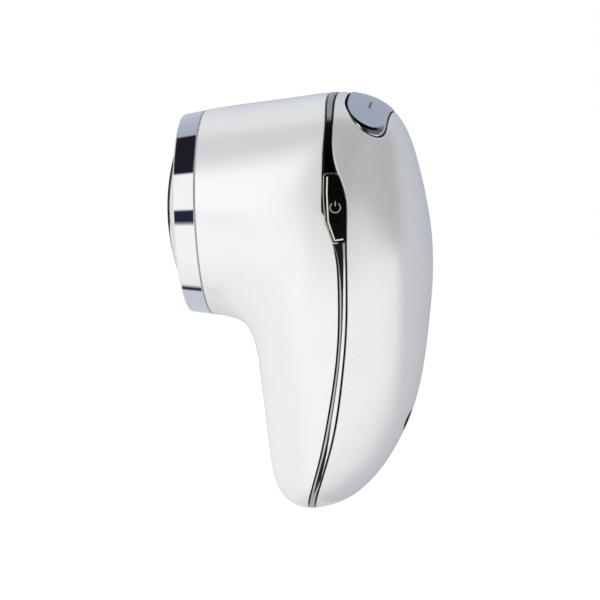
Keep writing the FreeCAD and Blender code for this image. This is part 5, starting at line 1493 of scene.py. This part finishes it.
def end_tree(given, geometry, finish):
    """Close a tree: real copies, a finish and the output."""
    real = given.node("GeometryNodeRealizeInstances", inputs={"Geometry": geometry})
    dressed = given.node("GeometryNodeSetMaterial", inputs={"Geometry": real, "Material": finishes[finish]})
    given.node("NodeGroupOutput", inputs={"Geometry": dressed})


def evaluated_mesh(mesh, tree, values):
    """Plain mesh that a node tree makes of a mesh, with its inputs set by identifier."""
    maker = bpy.data.objects.new(mesh.name, mesh)
    scene.collection.objects.link(maker)
    modifier = maker.modifiers.new("maker", "NODES")
    modifier.node_group = tree
    for identifier, value in values.items():
        modifier[identifier] = value
    made = bpy.data.meshes.new_from_object(maker.evaluated_get(bpy.context.evaluated_depsgraph_get()))
    bpy.data.objects.remove(maker)
    return made


print("node tree helpers ready")

# %% [markdown]
# The turning tree gets its number of steps as a named input. Points of the profile that lie on the axis
# would leave a ring of doubles at a pole, so doubles are merged before the piece is moved to its axis.


# %% A turned piece
AXIS_CIRCLE = 0.01 * MM
WELD_DISTANCE = AXIS_CIRCLE / 10
FINE_TURN_STEPS = 256


def welded(mesh):
    """Mesh with its doubles merged, which closes the poles on the axis."""
    shape = bmesh.new()
    shape.from_mesh(mesh)
    bmesh.ops.remove_doubles(shape, verts=shape.verts, dist=WELD_DISTANCE)
    shape.to_mesh(mesh)
    shape.free()
    return mesh


def turned_piece(name, profile, finish, axis, replaced):
    """Piece of the housing: a profile of radius and height rows turned about an axis of the device."""
    edges = [(step, (step + 1) % len(profile)) for step in range(len(profile))]
    if profile[0][0] == 0 and profile[-1][0] == 0:
        edges.pop()
    mesh = bpy.data.meshes.new(name)
    mesh.from_pydata([(radius - AXIS_CIRCLE, -height, 0.0) for radius, height in profile], edges, [])
    given, sizes, values = new_tree("turned_piece", {"Steps": FINE_TURN_STEPS})
    outline = given.node("GeometryNodeMeshToCurve", inputs={"Mesh": given})
    circle = given.node("GeometryNodeCurvePrimitiveCircle",
                        inputs={"Resolution": sizes["Steps"], "Radius": AXIS_CIRCLE})
    upright = given.node("GeometryNodeSetCurveNormal", {"mode": "Z_UP"}, {"Curve": circle})
    swept = given.node("GeometryNodeCurveToMesh", inputs={"Curve": upright, "Profile Curve": outline})
    end_tree(given, swept, finish)
    made = welded(evaluated_mesh(mesh, given.tree, values))
    made.transform(axis)
    place_piece(name, made, finish, "housing", finish, replaced)


head_axis = frame_matrix((-HEAD_REACH, 0, HEAD_LIFT), head_forward)
print("turning tree ready")

# %% [markdown]
# ## Ring and seal of the head
# The ring is plated and slightly conical. Its front edge is a real quarter circle, and two extra rows
# beside the edges keep the cone's reflections straight, because smooth shading would otherwise bend them
# near a corner. Behind it a grey seal shows as a thin line.

# %% Ring and seal
CORNER_ROUND_STEPS = 5
CORNER_REACH_SHARE = 0.45
SEAL_THICKNESS = 0.4 * MM
SEAL_BORE = 28.35 * MM
SEAL_RADIUS = 30.35 * MM
SEAL_ROUND = 0.08 * MM
RING_FRONT = 6.9 * MM
RING_BACK_RADIUS = 30.5 * MM
RING_FRONT_RADIUS = 29.5 * MM
RING_ROUND = 0.5 * MM
RING_ROUND_STEPS = 16
RING_BEVEL = 0.28 * MM
RING_SUPPORT = 0.35 * MM
LIP_RADIUS = 26.35 * MM
LIP_BACK = 5.1 * MM
RING_BORE = 27.1 * MM
SKIRT_RADIUS = 28.1 * MM
SKIRT_BACK = -6 * MM


def rounded_profile(profile, radius):
    """Closed profile of radius and height rows with every corner rounded."""
    corners = np.array(profile, float)
    points = []
    for before, corner, after in zip(np.roll(corners, 1, 0), corners, np.roll(corners, -1, 0)):
        lengths = [np.linalg.norm(side - corner) for side in (before, after)]
        reach = min(radius, CORNER_REACH_SHARE * min(lengths))
        first = corner + (before - corner) / lengths[0] * reach
        last = corner + (after - corner) / lengths[1] * reach
        for part in np.linspace(0, 1, CORNER_ROUND_STEPS):
            points.append((1 - part) ** 2 * first + 2 * part * (1 - part) * corner + part ** 2 * last)
    return points


ring_slope = (RING_BACK_RADIUS - RING_FRONT_RADIUS) / (RING_FRONT - RING_ROUND - SEAL_THICKNESS)
ring_supports = [(RING_BACK_RADIUS - ring_slope * (height - SEAL_THICKNESS), height)
                 for height in (SEAL_THICKNESS + RING_SUPPORT, RING_FRONT - RING_ROUND - RING_SUPPORT)]
round_turns = np.linspace(math.atan(ring_slope), math.pi / 2, RING_ROUND_STEPS)
front_round = list(zip(RING_FRONT_RADIUS - RING_ROUND * (1 - np.cos(round_turns)),
                       RING_FRONT - RING_ROUND * (1 - np.sin(round_turns))))
ring_corners = [
    (SKIRT_RADIUS, SEAL_THICKNESS), (RING_BACK_RADIUS, SEAL_THICKNESS), *ring_supports, *front_round,
    (LIP_RADIUS, RING_FRONT), (LIP_RADIUS, LIP_BACK), (RING_BORE, LIP_BACK), (RING_BORE, SKIRT_BACK),
    (SKIRT_RADIUS, SKIRT_BACK),
]
ring_profile = rounded_profile(ring_corners, RING_BEVEL)
turned_piece("head_ring_turned", ring_profile, "chrome", head_axis, "head_ring")
seal_corners = [
    (SEAL_BORE, 0.0), (SEAL_RADIUS, 0.0), (SEAL_RADIUS, SEAL_THICKNESS), (SEAL_BORE, SEAL_THICKNESS),
]
seal_profile = rounded_profile(seal_corners, SEAL_ROUND)
turned_piece("head_seal_turned", seal_profile, "seal_grey", head_axis, "head_seal")

# %% [markdown]
# ## Lens
# The lens is a shallow dome with a flange that the ring holds down. From the side it stands out a little in
# front of the ring. Its hollow inside is a second dome, because a solid one would show no depth from in
# front.

# %% Domed lens
LENS_RADIUS = 26.1 * MM
DOME_EDGE = 6.5 * MM
DOME_RISE = 5.99 * MM
LENS_THICKNESS = 2 * MM
FLANGE_RADIUS = 26.85 * MM
FLANGE_FRONT = 4.8 * MM
FLANGE_BACK = 2.9 * MM
DOME_STEPS = 40


def dome_rows(radius, edge, rise):
    """Rows of a shallow dome, from the axis to its edge."""
    sphere = (radius ** 2 + rise ** 2) / (2 * rise)
    radii = np.linspace(0, radius, DOME_STEPS)
    return list(zip(radii, edge + np.sqrt(sphere ** 2 - radii ** 2) - (sphere - rise)))


hollow_radius = LENS_RADIUS - LENS_THICKNESS
inner_edge = DOME_EDGE - LENS_THICKNESS / 2
inner_rise = DOME_EDGE + DOME_RISE - LENS_THICKNESS - inner_edge
lens_profile = [
    *dome_rows(LENS_RADIUS, DOME_EDGE, DOME_RISE), (LENS_RADIUS, FLANGE_FRONT), (FLANGE_RADIUS, FLANGE_FRONT),
    (FLANGE_RADIUS, FLANGE_BACK), (hollow_radius, FLANGE_BACK),
    *dome_rows(hollow_radius, inner_edge, inner_rise)[::-1],
]
turned_piece("lens_dome", lens_profile, "clear_lens", head_axis, "lens")

# %% [markdown]
# ## Charging socket
# The charging socket at the back of the grip is a black moulded tube with a brass pin. Both are turned
# pieces too, so the same tree makes them, about the socket's own axis.

# %% Socket and pin
SOCKET_BORE = 2.3 * MM
SOCKET_RADIUS = 4.2 * MM
SOCKET_SET = 0.3 * MM
SOCKET_NECK = 3 * MM
SOCKET_LENGTH = 12.5 * MM
SOCKET_FLOOR = 2 * MM
PIN_RADIUS = 0.85 * MM
PIN_ROOT = 1.3 * MM
PIN_SET = 1.5 * MM
PIN_NOSE_STEPS = 16
MOUTH_BEVEL = 0.3 * MM

mouth = -SOCKET_SET
socket_back = mouth - SOCKET_LENGTH
socket_floor = socket_back + SOCKET_FLOOR
socket_corners = [
    (SOCKET_BORE, mouth), (SOCKET_BORE, socket_floor), (PIN_ROOT, socket_floor), (PIN_ROOT, socket_back),
    (SOCKET_RADIUS, socket_back), (SOCKET_RADIUS, mouth - SOCKET_NECK), (SOCKET_MOUTH, mouth - SOCKET_NECK),
    (SOCKET_MOUTH, mouth),
]
socket_profile = rounded_profile(socket_corners, MOUTH_BEVEL)
turned_piece("socket_tube", socket_profile, "chip_black", socket_axis, "charge_socket")
nose_turns = np.linspace(0, math.pi / 2, PIN_NOSE_STEPS)
pin_nose = list(zip(PIN_RADIUS * np.sin(nose_turns), mouth - PIN_SET - PIN_RADIUS * (1 - np.cos(nose_turns))))
pin_root = [(PIN_RADIUS, socket_floor), (PIN_ROOT, socket_floor), (PIN_ROOT, socket_back), (0.0, socket_back)]
turned_piece("socket_pin", pin_nose + pin_root, "contact_brass", socket_axis, "charge_pin")

# %% [markdown]
# ## Light emitters
# Behind the lens sit nineteen emitters on three rings. They are all alike, so they are one shape on many
# points: a tapered ceramic case, and a yellow phosphor dome on it. A node tree puts the shape on every
# point and makes the copies real, because copies that are only instances would be lost outside Blender.

# %% Emitters on their rings
LED_RINGS = (1, 6, 12)
LED_PITCH = 9 * MM
CASE_WIDTH = 3.0 * MM
CASE_HEIGHT = 0.9 * MM
CASE_TAPER_SHARE = 0.88
CASE_SIDES = 4
CASE_TURN = (0.0, 0.0, math.pi / CASE_SIDES)
EMITTER_RADIUS = 1.1 * MM
EMITTER_STEPS = {"Segments": 16, "Rings": 10}
EMITTER_FLATNESS = (1.0, 1.0, 0.45)
EMITTER_RISE = 0.3 * MM


def case_shape(given, sizes):
    """Square case, a little narrower at its top."""
    corner = sizes["Width"] * math.sqrt(0.5)
    case = given.node("GeometryNodeMeshCone", inputs={
        "Vertices": CASE_SIDES, "Radius Bottom": corner, "Radius Top": corner * CASE_TAPER_SHARE,
        "Depth": sizes["Height"]})
    return given.node("GeometryNodeTransform", inputs={"Geometry": case, "Rotation": CASE_TURN})


def dome_shape(given, sizes):
    """Flattened dome."""
    ball = given.node("GeometryNodeMeshUVSphere", inputs={**EMITTER_STEPS, "Radius": sizes["Radius"]})
    return given.node("GeometryNodeTransform", inputs={"Geometry": ball, "Scale": EMITTER_FLATNESS})


def scattered(name, points, shape, inputs, finish):
    """Plain mesh of a shape on every point; the shape comes from a function of its input wires."""
    mesh = bpy.data.meshes.new(name)
    mesh.from_pydata([tuple(point) for point in points], [], [])
    given, sizes, values = new_tree(name, inputs)
    inputs = {"Points": given, "Instance": shape(given, sizes)}
    end_tree(given, given.node("GeometryNodeInstanceOnPoints", inputs=inputs), finish)
    return evaluated_mesh(mesh, given.tree, values)


led_turns = [(ring * LED_PITCH, 2 * math.pi * step / count)
             for ring, count in enumerate(LED_RINGS) for step in range(count)]
led_places = np.array([(radius * math.cos(turn), radius * math.sin(turn), 0.0) for radius, turn in led_turns])
case_sizes = {"Width": CASE_WIDTH, "Height": CASE_HEIGHT}
case_mesh = scattered("emitter_cases", led_places, case_shape, case_sizes, "reflector_white")
case_mesh.transform(head_axis)
place_piece("emitter_cases", case_mesh, "reflector_white", "housing", "reflector_white", "leds")
dome_places = led_places + [0, 0, CASE_HEIGHT - EMITTER_RISE / 2]
dome_mesh = scattered("emitter_domes", dome_places, dome_shape, {"Radius": EMITTER_RADIUS}, "emitter_yellow")
dome_mesh.transform(head_axis)
place_piece("emitter_domes", dome_mesh, "emitter_yellow", "housing", "emitter_yellow")

# %% [markdown]
# ## Signal dots
# On the far side the same opening holds a dark window with three signal lights. They show as small pale
# dots, again one shape on three points that lie on the window.

# %% Dots on the far window
SIGNAL_PITCH = 5 * MM
DOT_RADIUS = 0.55 * MM
DOT_HEIGHT = 0.12 * MM
DOT_STEPS = 32
DOT_TURN = (math.pi / 2, 0.0, 0.0)


def dot_shape(given, sizes):
    """Flat round dot that faces sideways."""
    disc = given.node("GeometryNodeMeshCylinder", inputs={
        "Vertices": DOT_STEPS, "Radius": sizes["Radius"], "Depth": sizes["Height"]})
    return given.node("GeometryNodeTransform", inputs={"Geometry": disc, "Rotation": DOT_TURN})


dot_places = np.array([(BUTTON_PLACE, BUTTON_LEVEL + SIGNAL_PITCH * step) for step in (-1, 0, 1)])
dot_points = on_side(dot_places, GLASS_SET, far=True)
dot_sizes = {"Radius": DOT_RADIUS, "Height": DOT_HEIGHT}
dot_mesh = scattered("signal_dots", dot_points, dot_shape, dot_sizes, "symbol_grey")
place_piece("signal_dots", dot_mesh, "symbol_grey", "housing", "reflector_white")
